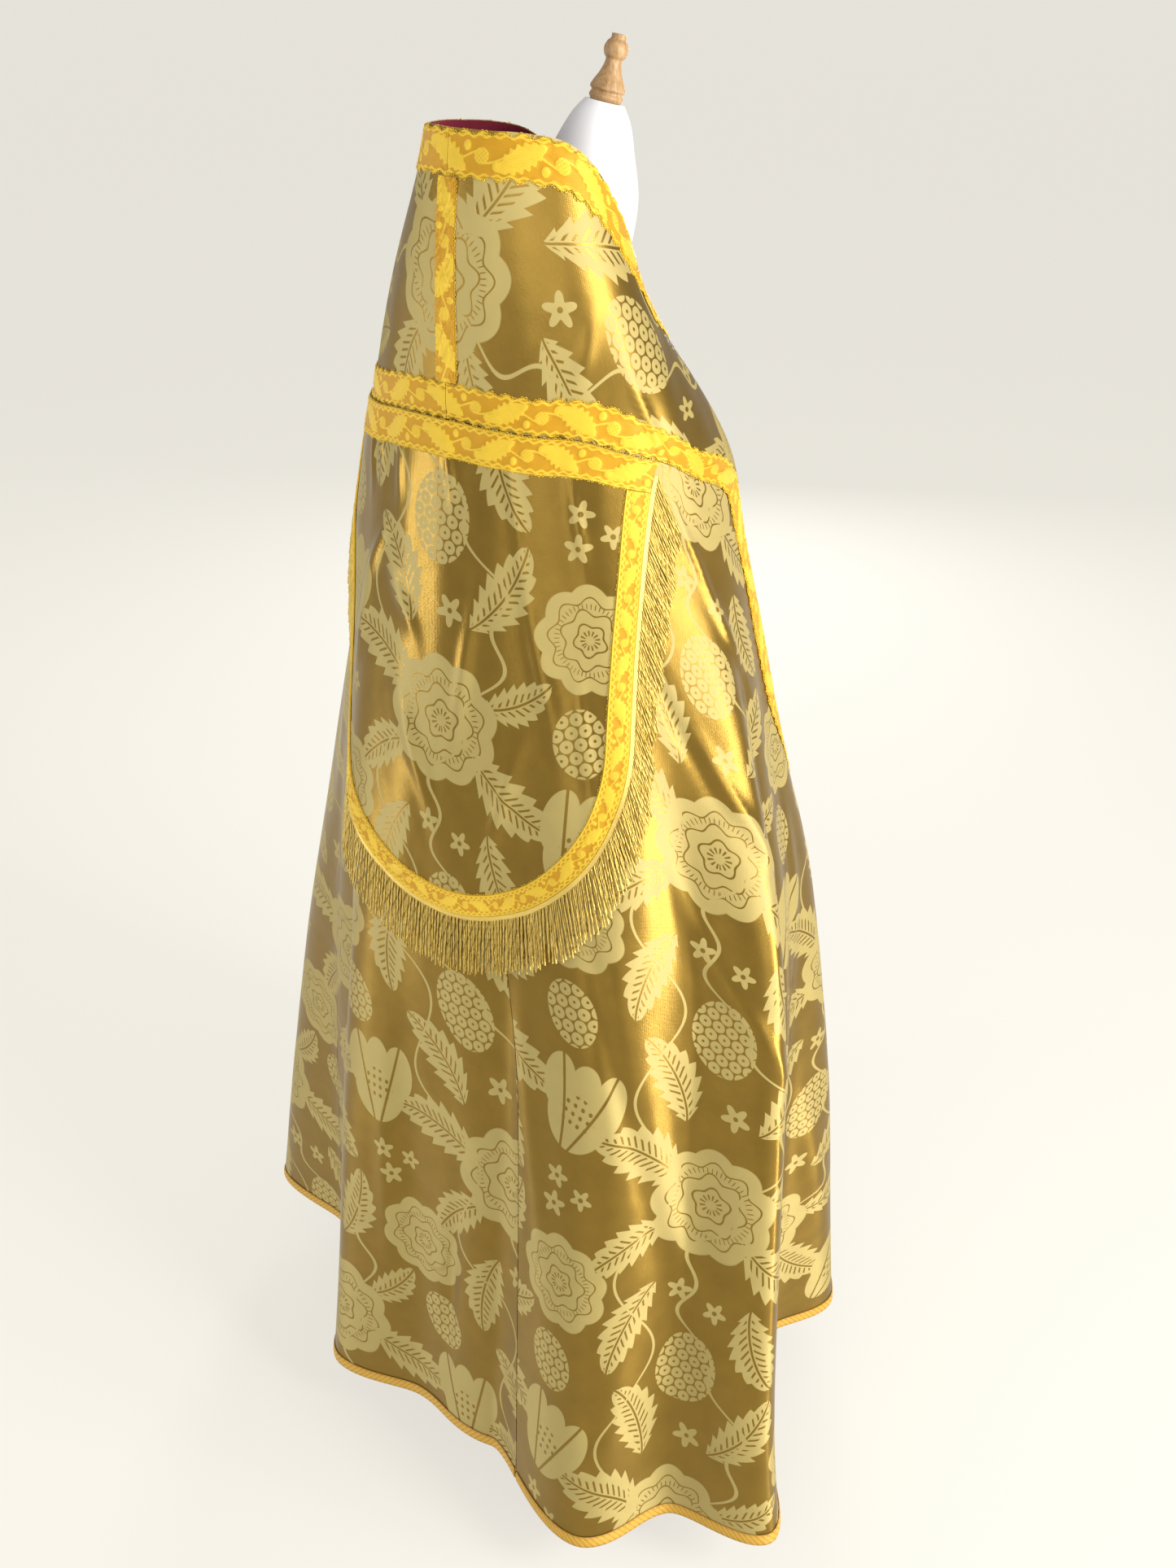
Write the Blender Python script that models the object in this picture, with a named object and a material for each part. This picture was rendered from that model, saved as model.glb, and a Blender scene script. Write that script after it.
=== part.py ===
"""Cope vestment on a limbless dress form, as separate sewn pieces.

A cope is a half circle of cloth worn like a cloak.  Its straight edge runs over
the back of the neck and down both fronts.  An orphrey, a band of the same damask
between two galloons, follows that straight edge, and a hood in the shape of a
shield hangs from it at the back.

Frame: metres, +Z up, the origin on the floor under the middle of the stand.  The
fronts meet towards -Y, the back faces +Y and the wearer's right is -X.

Every piece of cloth lies on one worn surface, which two values address:
  angle  degrees round the stand, 0 straight back, positive to the wearer's right
  drop   0 at the neck edge, 1 at the hem
"""
import math
from collections import namedtuple

import bmesh
import bpy
import numpy as np
from mathutils import Vector

# Driving sizes of the cloth, in metres unless a name says degrees
HEM_HEIGHT = 0.090
FALL_LENGTH = 1.48
CLOTH = 0.0020
LINING = 0.0010
TRIM = 0.0012
SEAM = 0.0003
NECK_GALLOON = 0.041
ORPHREY_GALLOON = 0.034
HOOD_GALLOON = 0.023
HEM_BRAID = 0.014
FRONT_GAP = 0.030
TRIM_INSET = 0.0010

# Neck edge: radius and height of the edge at each angle
NeckPoint = namedtuple("NeckPoint", "angle radius height")
NECK_EDGE = (
    NeckPoint(-196, 0.075, 1.366),
    NeckPoint(-176, 0.078, 1.430),
    NeckPoint(-152, 0.086, 1.505),
    NeckPoint(-123, 0.095, 1.538),
    NeckPoint(-81, 0.110, 1.549),
    NeckPoint(-47, 0.122, 1.555),
    NeckPoint(-19, 0.136, 1.562),
    NeckPoint(12, 0.135, 1.562),
    NeckPoint(30, 0.131, 1.557),
    NeckPoint(38, 0.129, 1.549),
    NeckPoint(47, 0.124, 1.530),
    NeckPoint(56, 0.118, 1.503),
    NeckPoint(65, 0.111, 1.473),
    NeckPoint(78, 0.098, 1.433),
    NeckPoint(100, 0.083, 1.400),
    NeckPoint(120, 0.076, 1.380),
    NeckPoint(140, 0.074, 1.366),
    NeckPoint(164, 0.075, 1.366),
)
NECK_BLEND = 0.14
NECK_FLARE = 0.25

# Worn sections: half axes of the smooth oval at each drop
Section = namedtuple("Section", "drop right left back front")
SECTIONS = (
    Section(0.00, 0.135, 0.122, 0.140, 0.125),
    Section(0.06, 0.164, 0.151, 0.155, 0.148),
    Section(0.12, 0.187, 0.174, 0.165, 0.160),
    Section(0.18, 0.200, 0.195, 0.176, 0.170),
    Section(0.26, 0.224, 0.218, 0.190, 0.184),
    Section(0.36, 0.257, 0.246, 0.210, 0.206),
    Section(0.50, 0.309, 0.288, 0.236, 0.240),
    Section(0.70, 0.349, 0.341, 0.275, 0.280),
    Section(1.00, 0.388, 0.398, 0.330, 0.330),
)

# Folds: crests and troughs by their angle and radius at the hem; each grows
# from its own drop, and leans by some degrees towards where it starts
Fold = namedtuple("Fold", "name angle radius begins lean")
FOLDS = (
    Fold("left front crest", -158, 0.350, 0.30, 0),
    Fold("left front trough", -139, 0.300, 0.34, 2),
    Fold("left arm crest", -119, 0.420, 0.22, 0),
    Fold("left arm trough", -98, 0.360, 0.30, 0),
    Fold("left back crest", -79, 0.438, 0.20, -4),
    Fold("left back flank", -66, 0.318, 0.28, -2),
    Fold("left back trough", -50, 0.250, 0.26, -5),
    Fold("centre back crest", -24, 0.356, 0.30, -9),
    Fold("centre back trough", -5, 0.316, 0.45, -4),
    Fold("seam shoulder", 15, 0.345, 0.45, 0),
    Fold("right back crest", 33, 0.472, 0.30, 10),
    Fold("right back dip", 46, 0.444, 0.45, 12),
    Fold("right arm crest", 57, 0.524, 0.22, 20),
    Fold("right arm flank", 70, 0.370, 0.20, 16),
    Fold("right arm trough", 88, 0.312, 0.22, 10),
    Fold("right side crest", 104, 0.370, 0.26, 4),
    Fold("right side rest", 120, 0.346, 0.30, 0),
    Fold("right front trough", 140, 0.308, 0.34, -2),
    Fold("right front crest", 158, 0.350, 0.30, 0),
    Fold("front opening", 180, 0.330, 0.30, 0),
)
FOLD_GROWTH = 1.15

# Lines down the cloth: the centre back seam, the hood's middle line, and the
# middle of the gap between the front edges
LinePoint = namedtuple("LinePoint", "drop angle")
BACK_SEAM = (
    LinePoint(0.00, -12.5),
    LinePoint(0.17, -6.0),
    LinePoint(0.40, 8.0),
    LinePoint(0.55, 17.0),
    LinePoint(0.66, 21.0),
    LinePoint(1.00, 21.8),
)
HOOD_MIDDLE = (
    LinePoint(0.00, -15.0),
    LinePoint(0.17, -8.0),
    LinePoint(0.52, 1.5),
)
FRONT_MIDDLE = (
    LinePoint(0.00, 152.0),
    LinePoint(0.15, 165.0),
    LinePoint(0.40, 177.0),
    LinePoint(1.00, 182.0),
)

# Outer edge of the orphrey: its drop at each angle, down to the hem at both ends
EdgePoint = namedtuple("EdgePoint", "angle drop")
ORPHREY_EDGE = (
    EdgePoint(-138.0, 1.000),
    EdgePoint(-136.0, 0.800),
    EdgePoint(-133.0, 0.600),
    EdgePoint(-128.0, 0.440),
    EdgePoint(-120.0, 0.315),
    EdgePoint(-109.0, 0.225),
    EdgePoint(-94.0, 0.186),
    EdgePoint(-50.0, 0.177),
    EdgePoint(-8.0, 0.172),
    EdgePoint(22.0, 0.1745),
    EdgePoint(45.0, 0.168),
    EdgePoint(66.0, 0.148),
    EdgePoint(82.0, 0.142),
    EdgePoint(90.0, 0.148),
    EdgePoint(95.0, 0.185),
    EdgePoint(98.0, 0.250),
    EdgePoint(102.0, 0.330),
    EdgePoint(111.0, 0.395),
    EdgePoint(119.0, 0.440),
    EdgePoint(126.0, 0.530),
    EdgePoint(131.0, 0.660),
    EdgePoint(134.0, 0.800),
    EdgePoint(136.0, 1.000),
)

# Sides of the cope: the angle where the orphrey's edge turns down the front, the
# hem's angles below that turn and at the orphrey, and the stations on either side
Side = namedtuple("Side", "name sign corner hem_corner hem_end before after")
RIGHT = Side("right", 1, 90.0, 76.0, 136.0, 26, 15)
LEFT = Side("left", -1, -99.0, -99.0, -138.0, 30, 13)
TURN = 0.34
STRAIGHT_TURN = 0.30
STRIP_SHARE = 0.0122
TOP_DROP = 0.17
LAST_BODY_SHARE = 0.985
BODY_ROWS = 14
PLAIN_SPANS = 6
SEAM_REACH = 3
FRONT_CLEAR = 0.12
FRONT_CLEAR_REACH = 0.0167
SEAM_CLEAR_REACH = 0.05
STRAIGHT_SPREAD = 1.15
EDGE_SPREAD = 1.1
LINING_STATIONS = 18

# Hood: a shield with nearly straight sides and a round foot, and its fringe
HOOD_HALF_WIDTH = 0.215
HOOD_SIDE = 0.300
HOOD_LENGTH = 0.511
HOOD_TAPER = 0.165
HOOD_TAPER_POWER = 0.36
HOOD_LIFT = 0.0008
HOOD_FOOT_LIFT = 0.0090
HOOD_LIFT_POWER = 0.7
SPINE_SHARE = 0.40
HOOD_SIDE_STATIONS = 8
HOOD_FOOT_STATIONS = 12
HOOD_COLUMNS = 10
FRINGE_LENGTH = 0.062
FRINGE_STRANDS = 184
FRINGE_START = 0.012
FRINGE_HEAD = 0.0045
FRINGE_THICKNESS = 0.0020
FRINGE_LIFT = 0.0012
FRINGE_FLARE = 0.65
STRAND_WIDTH = 0.0030
STRAND_SWAY = 0.0003
STRAND_UNEVEN = 0.04

# Clasp: from which to which drop it joins the fronts
CLASP_TOP = 0.050
CLASP_FOOT = 0.100
CLASP_LIFT = 0.0009

# Dress form: rings from the foot of the torso to the neck cap; ahead is how far
# a ring's centre lies towards the form's front, and gap how far it keeps inside
# the cloth, which rests on the ring at the shoulders
FormRing = namedtuple("FormRing", "height ahead depth width tilt gap")
FORM_RINGS = (
    FormRing(0.780, 0.000, 0.095, 0.120, 0, 0.0050),
    FormRing(0.800, 0.000, 0.110, 0.138, 0, 0.0050),
    FormRing(0.900, 0.000, 0.112, 0.142, 0, 0.0050),
    FormRing(1.030, 0.000, 0.095, 0.120, 0, 0.0050),
    FormRing(1.140, 0.002, 0.105, 0.135, 0, 0.0050),
    FormRing(1.230, 0.000, 0.106, 0.160, 0, 0.0050),
    FormRing(1.290, -0.004, 0.100, 0.180, 0, 0.0080),
    FormRing(1.335, -0.008, 0.088, 0.190, 2, 0.0020),
    FormRing(1.375, -0.006, 0.074, 0.152, 5, 0.0080),
    FormRing(1.410, 0.000, 0.064, 0.100, 9, 0.0050),
    FormRing(1.440, 0.014, 0.058, 0.064, 12, 0.0050),
    FormRing(1.490, 0.031, 0.051, 0.052, 14, 0.0050),
    FormRing(1.530, 0.040, 0.038, 0.039, 14, 0.0050),
    FormRing(1.555, 0.046, 0.028, 0.029, 14, 0.0050),
    FormRing(1.568, 0.049, 0.019, 0.020, 14, 0.0050),
)
FORM_COLUMNS = 40
FORM_FACING = 140.0
NECK_LEAN = 14.0

# Wood knob on the neck, as turned: distance along its axis and radius
KnobPoint = namedtuple("KnobPoint", "along radius")
KNOB_PROFILE = (
    KnobPoint(0.0000, 0.0145),
    KnobPoint(0.0040, 0.0165),
    KnobPoint(0.0080, 0.0150),
    KnobPoint(0.0110, 0.0172),
    KnobPoint(0.0160, 0.0155),
    KnobPoint(0.0260, 0.0105),
    KnobPoint(0.0370, 0.0078),
    KnobPoint(0.0405, 0.0105),
    KnobPoint(0.0460, 0.0118),
    KnobPoint(0.0520, 0.0100),
    KnobPoint(0.0560, 0.0070),
    KnobPoint(0.0595, 0.0072),
)
TURNED_COLUMNS = 16
POLE_RADIUS = 0.016
BASE_RADIUS = 0.165
BASE_THICKNESS = 0.022
BASE_COLUMNS = 40


def smooth(value):
    """Ease from 0 to 1 with level ends."""
    value = np.clip(value, 0.0, 1.0)
    return value * value * (3.0 - 2.0 * value)


def mix(first, second, share):
    """The value a share of the way from first to second."""
    return first + (second - first) * share


class Curve:
    """Monotone cubic through the rows of a table, one column against another."""

    def __init__(self, rows, key, column):
        self.places = np.array([getattr(row, key) for row in rows], dtype=float)
        self.values = np.array([getattr(row, column) for row in rows], dtype=float)
        rises = np.diff(self.values) / np.diff(self.places)
        self.slopes = np.zeros(len(rows))
        self.slopes[0] = rises[0]
        self.slopes[-1] = rises[-1]
        for i in range(1, len(rises)):
            before, after = rises[i - 1], rises[i]
            if before * after > 0.0:
                self.slopes[i] = 2.0 * before * after / (before + after)

    def __call__(self, wanted):
        wanted = np.clip(wanted, self.places[0], self.places[-1])
        last = len(self.places) - 2
        index = np.clip(np.searchsorted(self.places, wanted) - 1, 0, last)
        step = self.places[index + 1] - self.places[index]
        share = (wanted - self.places[index]) / step
        hold = 2.0 * share ** 3 - 3.0 * share ** 2 + 1.0
        lead = share ** 3 - 2.0 * share ** 2 + share
        trail = share ** 3 - share ** 2
        return (hold * self.values[index] + (1.0 - hold) * self.values[index + 1]
                + step * (lead * self.slopes[index] + trail * self.slopes[index + 1]))


neck_radius = Curve(NECK_EDGE, "angle", "radius")
neck_height = Curve(NECK_EDGE, "angle", "height")
section_right = Curve(SECTIONS, "drop", "right")
section_left = Curve(SECTIONS, "drop", "left")
section_back = Curve(SECTIONS, "drop", "back")
section_front = Curve(SECTIONS, "drop", "front")
back_seam = Curve(BACK_SEAM, "drop", "angle")
hood_middle = Curve(HOOD_MIDDLE, "drop", "angle")
front_middle = Curve(FRONT_MIDDLE, "drop", "angle")
edge_drop = Curve(ORPHREY_EDGE, "angle", "drop")


def on_neck_table(angle):
    """The same angle within the neck table's turn."""
    first = NECK_EDGE[0].angle
    return (angle - first) % 360.0 + first


def oval_radius(angle, drop):
    """Radius of the smooth worn oval, before its folds."""
    across = np.sin(np.radians(angle))
    along = np.cos(np.radians(angle))
    side = np.where(across > 0.0, section_right(drop), section_left(drop))
    depth = np.where(along > 0.0, section_back(drop), section_front(drop))
    return 1.0 / np.hypot(across / side, along / depth)


def fold_offset(angle, drop):
    """How far the folds move the cloth out or in at a place."""
    places = []
    sizes = []
    for fold in FOLDS:
        reach = np.clip((drop - fold.begins) / (1.0 - fold.begins), 0.0, 1.0)
        places.append(fold.angle + fold.lean * (1.0 - smooth(reach)))
        sizes.append((fold.radius - oval_radius(fold.angle, 1.0)) * reach ** FOLD_GROWTH)
    offset = np.zeros(np.shape(angle))
    for i, place in enumerate(places):
        k = (i + 1) % len(places)
        span = (places[k] - place) % 360.0
        past = (angle - place) % 360.0
        inside = past < span
        offset = np.where(inside, mix(sizes[i], sizes[k], smooth(past / span)), offset)
    return offset


def surface(angle, drop):
    """Points of the worn cloth's middle surface."""
    angle, drop = np.broadcast_arrays(np.asarray(angle, float), np.asarray(drop, float))
    at_neck = on_neck_table(angle)
    body = oval_radius(angle, drop) + fold_offset(angle, drop)
    leaving = 1.0 - (1.0 - np.minimum(drop / NECK_BLEND, 1.0)) ** 2
    radius = mix(neck_radius(at_neck) + NECK_FLARE * drop, body, leaving)
    height = mix(neck_height(at_neck), HEM_HEIGHT, drop)
    turn = np.radians(angle)
    return np.stack([-radius * np.sin(turn), radius * np.cos(turn), height], axis=-1)


def outward(angle, drop):
    """Unit normals of the cloth, pointing away from the wearer."""
    turn = 0.4
    step = 0.004
    around = surface(angle + turn, drop) - surface(angle - turn, drop)
    down = (surface(angle, np.minimum(drop + step, 1.0))
            - surface(angle, np.maximum(drop - step, 0.0)))
    normals = np.cross(down, around)
    return normals / np.linalg.norm(normals, axis=-1, keepdims=True)


class Sheet:
    """A grid of points on the middle of a panel, with normals that move them out."""

    def __init__(self, points, normals):
        self.points = points
        self.normals = normals

    @classmethod
    def worn(cls, angle, drop, lift=0.0):
        """The grid at these places of the worn surface, moved out by a lift."""
        angle = np.asarray(angle, float)
        drop = np.asarray(drop, float)
        normals = outward(angle, drop)
        lifts = np.broadcast_to(lift, angle.shape)[..., None]
        return cls(surface(angle, drop) + normals * lifts, normals)

    @classmethod
    def joined(cls, sheets, axis=0):
        """One grid from grids that follow on from each other."""
        return cls(np.concatenate([sheet.points for sheet in sheets], axis=axis),
                   np.concatenate([sheet.normals for sheet in sheets], axis=axis))

    def part(self, rows, columns):
        """The part of the grid in these slices."""
        return Sheet(self.points[rows, columns].copy(), self.normals[rows, columns].copy())

    def turned(self):
        """The grid with its rows and columns swapped."""
        return Sheet(self.points.swapaxes(0, 1), self.normals.swapaxes(0, 1))

    def drawn_in(self, first, last):
        """The grid with its first and last columns moved in by two lengths."""
        points = self.points.copy()
        for edge, beside, length in ((0, 1, first), (-1, -2, last)):
            inward = self.points[:, beside] - self.points[:, edge]
            inward /= np.linalg.norm(inward, axis=-1, keepdims=True)
            points[:, edge] += inward * length
        return Sheet(points, self.normals)

    def moved(self, lift):
        """The points moved out along the normals."""
        return self.points + self.normals * lift


def new_material(name, colour, roughness, metallic=0.0):
    """A plain Principled material."""
    material = bpy.data.materials.new(name)
    material.use_nodes = True
    shader = material.node_tree.nodes["Principled BSDF"]
    shader.inputs["Base Color"].default_value = (*colour, 1.0)
    shader.inputs["Roughness"].default_value = roughness
    shader.inputs["Metallic"].default_value = metallic
    return material


def new_object(name, points, faces, finish):
    """A closed mesh object from points and faces, with its material."""
    mesh = bpy.data.meshes.new(name)
    mesh.from_pydata([tuple(point) for point in points], [], faces)
    shape = bmesh.new()
    shape.from_mesh(mesh)
    bmesh.ops.recalc_face_normals(shape, faces=shape.faces)
    bmesh.ops.triangulate(shape, faces=shape.faces)
    shape.to_mesh(mesh)
    shape.free()
    mesh.validate()
    mesh.shade_smooth()
    mesh.set_sharp_from_angle(angle=math.radians(50.0))
    mesh.materials.append(FINISHES[finish])
    thing = bpy.data.objects.new(name, mesh)
    bpy.context.collection.objects.link(thing)
    return thing


def grid_triangles(rows, columns, number=None):
    """Triangles of a grid, always split the same way; number names a point."""
    if number is None:
        def number(i, j):
            return i * columns + j
    triangles = []
    for i in range(rows - 1):
        for j in range(columns - 1):
            a, b = number(i, j), number(i + 1, j)
            c, d = number(i + 1, j + 1), number(i, j + 1)
            triangles += [(a, b, c), (a, c, d)]
    return triangles


def wall(name, sheet, low, high, finish, number=None):
    """A thin closed wall between two offsets of a sheet."""
    rows, columns = sheet.points.shape[:2]
    triangles = grid_triangles(rows, columns, number)
    used = sorted({corner for triangle in triangles for corner in triangle})
    renumbered = {corner: place for place, corner in enumerate(used)}
    outer = sheet.moved(high).reshape(-1, 3)[used]
    inner = sheet.moved(low).reshape(-1, 3)[used]
    shift = len(used)
    faces = []
    edges = set()
    for triangle in triangles:
        a, b, c = [renumbered[corner] for corner in triangle]
        faces += [(a, b, c), (a + shift, c + shift, b + shift)]
        edges |= {(a, b), (b, c), (c, a)}
    for a, b in sorted(edges):
        if (b, a) not in edges:
            faces.append((b, a, a + shift, b + shift))
    return new_object(name, np.concatenate([outer, inner]), faces, finish)


def fold_line(hem_angle, drop):
    """Angle at a drop of the line that runs with the folds to an angle at the hem."""
    feet = []
    places = []
    for turn in (-360.0, 0.0, 360.0):
        for fold in FOLDS:
            reach = np.clip((drop - fold.begins) / (1.0 - fold.begins), 0.0, 1.0)
            feet.append(turn + fold.angle)
            places.append(turn + fold.angle + fold.lean * (1.0 - smooth(reach)))
    return np.interp(hem_angle, feet, places)


def stations(side):
    """Shares of the orphrey's edge, and the hem's angles, of the body's lines."""
    past_seam = np.linspace(0.0, 1.0, side.before)
    hem = mix(back_seam(1.0), side.hem_corner, past_seam)
    top = fold_line(hem, TOP_DROP)
    top -= (top[0] - back_seam(TOP_DROP)) * (1.0 - past_seam) ** 2
    shares = TURN * (top - top[0]) / (top[-1] - top[0])
    strip_hem = np.interp(STRIP_SHARE, shares, hem)
    beyond = shares > STRIP_SHARE * 1.5
    after = np.linspace(TURN, LAST_BODY_SHARE, side.after + 1)[1:]
    past_turn = (after - TURN) / (LAST_BODY_SHARE - TURN)
    shares = np.concatenate([[0.0, STRIP_SHARE], shares[beyond], after])
    hem = np.concatenate([[hem[0], strip_hem], hem[beyond],
                          mix(side.hem_corner, side.hem_end, past_turn)])
    return shares, hem


def front_edge(side, drop):
    """Angles of a front edge at drops."""
    middle = front_middle(drop)
    radius = mix(neck_radius(on_neck_table(middle)), oval_radius(180.0, drop),
                 smooth(drop / NECK_BLEND))
    half_gap = np.degrees(FRONT_GAP / radius)
    if side.sign > 0:
        return middle - half_gap
    return middle + half_gap - 360.0


def straight_edge(side, share):
    """The cope's straight edge from the back seam, round the neck, to the hem."""
    along_neck = mix(back_seam(0.0), front_edge(side, 0.0), share / STRAIGHT_TURN)
    below = np.clip((share - STRAIGHT_TURN) / (1.0 - STRAIGHT_TURN), 0.0, 1.0)
    below = below ** STRAIGHT_SPREAD
    angle = np.where(share < STRAIGHT_TURN, along_neck, front_edge(side, below))
    return angle, below


def orphrey_edge(side, share):
    """The orphrey's outer edge from the back seam to the hem."""
    start = back_seam(TOP_DROP)
    across_back = mix(start, side.corner, share / TURN)
    below = np.clip((share - TURN) / (1.0 - TURN), 0.0, 1.0)
    drop = mix(edge_drop(side.corner), 1.0, below ** EDGE_SPREAD)
    angles = np.linspace(side.corner, side.hem_end, 400)
    down_front = np.interp(drop, edge_drop(angles), angles)
    angle = np.where(share < TURN, across_back, down_front)
    return angle, np.where(share < TURN, edge_drop(angle), drop)


def seam_clear(side, share, radius):
    """Degrees by which a piece keeps clear of the centre back seam."""
    fading = np.clip(1.0 - share / SEAM_CLEAR_REACH, 0.0, 1.0)
    return side.sign * math.degrees(SEAM / radius) * fading


def body_sheet(side):
    """The grid of one body half: stations along the orphrey's edge, rows to the hem."""
    shares, hem_angle = stations(side)
    top_angle, top_drop = orphrey_edge(side, shares)
    clear = SEAM * 2 / FALL_LENGTH
    braid_top = 1.0 - HEM_BRAID / FALL_LENGTH
    rows = np.append(np.arange(BODY_ROWS) / (BODY_ROWS - 1), 2.0)
    drop = np.minimum(mix(top_drop[:, None] + clear, braid_top, rows[None, :]), 1.0)
    at_top = np.array([fold_line(hem, top) for hem, top in zip(hem_angle, top_drop)])
    with_folds = np.array([[fold_line(hem, at) for at in row]
                           for hem, row in zip(hem_angle, drop)])
    down = (drop - top_drop[:, None]) / (1.0 - top_drop[:, None])
    angle = with_folds + (top_angle - at_top)[:, None] * (1.0 - down)
    pull = back_seam(drop[0]) - angle[0]
    fading = (1.0 - shares / LAST_BODY_SHARE) ** SEAM_REACH
    angle += fading[:, None] * pull[None, :]
    keep_clear = -FRONT_CLEAR * np.clip((shares - TURN) / FRONT_CLEAR_REACH + 1.0, 0.0, 1.0)
    keep_clear[0] = math.degrees(SEAM / 0.2)
    return Sheet.worn(angle + side.sign * keep_clear[:, None], drop)


def orphrey_sheet(side):
    """The grid of one orphrey half: its columns include the galloons' borders."""
    shares = np.append(stations(side)[0], 1.0)
    inner_angle, inner_drop = straight_edge(side, shares)
    outer_angle, outer_drop = orphrey_edge(side, shares)
    width = np.linalg.norm(surface(inner_angle, inner_drop)
                           - surface(outer_angle, outer_drop), axis=-1)
    plain = width - NECK_GALLOON - ORPHREY_GALLOON
    insets = [NECK_GALLOON + plain * i / PLAIN_SPANS for i in range(PLAIN_SPANS + 1)]
    across = np.stack([inset / width for inset in [0.0 * width, *insets, width]], axis=-1)
    angle = mix(inner_angle[:, None], outer_angle[:, None], across)
    drop = mix(inner_drop[:, None], outer_drop[:, None], across)
    angle += seam_clear(side, shares, 0.16)[:, None]
    return Sheet.worn(angle, drop)


def build_body(side):
    """One half of the cope's body and the braid along its hem."""
    sheet = body_sheet(side)
    half = CLOTH / 2
    wall("body_" + side.name, sheet, -half, half, "damask")
    braid = sheet.part(slice(None), slice(-2, None)).drawn_in(0.0, TRIM_INSET / 2)
    braid = braid.turned().drawn_in(TRIM_INSET, TRIM_INSET)
    low = half + SEAM
    wall("braid_hem_" + side.name, braid, low, low + TRIM, "braid")


def build_orphrey(side, sheet):
    """One half of the orphrey, and the galloons on its two edges."""
    half = CLOTH / 2
    low = half + SEAM
    wall("orphrey_" + side.name, sheet, -half, half, "damask")
    inner = sheet.part(slice(None), slice(0, 2)).drawn_in(TRIM_INSET, 0.0)
    wall("galloon_front_" + side.name, inner, low, low + TRIM, "galloon")
    outer = sheet.part(slice(None), slice(-2, None)).drawn_in(0.0, TRIM_INSET / 2)
    wall("galloon_orphrey_" + side.name, outer, low, low + TRIM, "galloon")


def build_back_strip(right, left):
    """The narrow galloon over the orphrey's seam at the centre back."""
    plain = slice(1, PLAIN_SPANS + 2)
    strip = Sheet.joined([left.part(slice(1, None, -1), plain),
                          right.part(slice(0, 2), plain)])
    strip = strip.drawn_in(SEAM * 2, SEAM * 2)
    low = CLOTH / 2 + SEAM
    wall("galloon_back_strip", strip, low, low + TRIM, "galloon")


def build_neck_lining(right, left):
    """The lining where it shows inside the neck edge."""
    last = LINING_STATIONS
    middle = right.part(slice(0, 1), slice(0, 2))
    middle.points[:] = (right.points[:1, :2] + left.points[:1, :2]) / 2
    strip = Sheet.joined([left.part(slice(last, 0, -1), slice(0, 2)), middle,
                          right.part(slice(1, last + 1), slice(0, 2))])
    strip = strip.drawn_in(TRIM_INSET, 0.0)
    high = -CLOTH / 2 - SEAM
    wall("lining_neck", strip, high - LINING, high, "lining")


def build_clasp(right, left):
    """The cloth band that joins the two fronts on the chest."""
    pieces = []
    for side, sheet in ((RIGHT, right), (LEFT, left)):
        _, drop = straight_edge(side, stations(side)[0])
        near_top = int(np.argmin(np.abs(drop - CLASP_TOP)))
        near_foot = int(np.argmin(np.abs(drop - CLASP_FOOT)))
        near_foot = max(near_foot, near_top + 1)
        pieces.append(sheet.part(slice(near_top, near_foot + 1), slice(0, 2)))
    on_right, on_left = pieces
    band = Sheet.joined([on_right.turned().part(slice(None, None, -1), slice(None)),
                         on_left.turned()])
    low = CLOTH / 2 + SEAM + TRIM + CLASP_LIFT
    wall("clasp_band", band.turned(), low, low + CLOTH, "damask")


def walk_round(start, drop, length):
    """Angles reached after lengths round the cloth at drops."""
    angle = start + 0.0 * length
    for _ in range(4):
        spot = surface((start + angle) / 2.0, drop)
        angle = start + np.degrees(length / np.hypot(spot[..., 0], spot[..., 1]))
    return angle


def hood_place(sideways, below):
    """Angles and drops of places on the hood, measured from its top centre."""
    taper = HOOD_TAPER * np.clip(below / HOOD_LENGTH, 0.0, 1.1) ** HOOD_TAPER_POWER
    narrowed = sideways * (1.0 - taper)
    top_drop = edge_drop(walk_round(hood_middle(0.17), 0.17, narrowed))
    drop = top_drop + (SEAM * 2 + below) / FALL_LENGTH
    return walk_round(hood_middle(drop), drop, narrowed), drop


def hood_lift(below):
    """The hood stands further off the body towards its foot."""
    share = np.clip(below / HOOD_LENGTH, 0.0, 1.2)
    return CLOTH + HOOD_LIFT + HOOD_FOOT_LIFT * share ** HOOD_LIFT_POWER


def hood_outline(share, inset):
    """Places on the hood's edge, left top to right top, moved in by an inset."""
    half = HOOD_HALF_WIDTH - inset
    foot = HOOD_LENGTH - HOOD_SIDE - inset
    arc = math.pi / 2 * (half + foot)
    whole = 2 * HOOD_SIDE + arc
    at = share * whole
    turn = np.clip(math.pi * (at - HOOD_SIDE) / arc, 0.0, math.pi)
    below = np.minimum(np.minimum(at, whole - at), HOOD_SIDE) + foot * np.sin(turn)
    return -half * np.cos(turn), below


def hood_stations():
    """Shares of the outline from a top corner to the middle of the foot."""
    whole = 2 * HOOD_SIDE + math.pi / 2 * (HOOD_HALF_WIDTH + HOOD_LENGTH - HOOD_SIDE)
    side_end = HOOD_SIDE / whole
    down = np.linspace(ORPHREY_GALLOON / whole, side_end, HOOD_SIDE_STATIONS)
    foot = np.linspace(side_end, 0.5, HOOD_FOOT_STATIONS)
    return np.concatenate([[0.0], down, foot[1:]])


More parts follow.
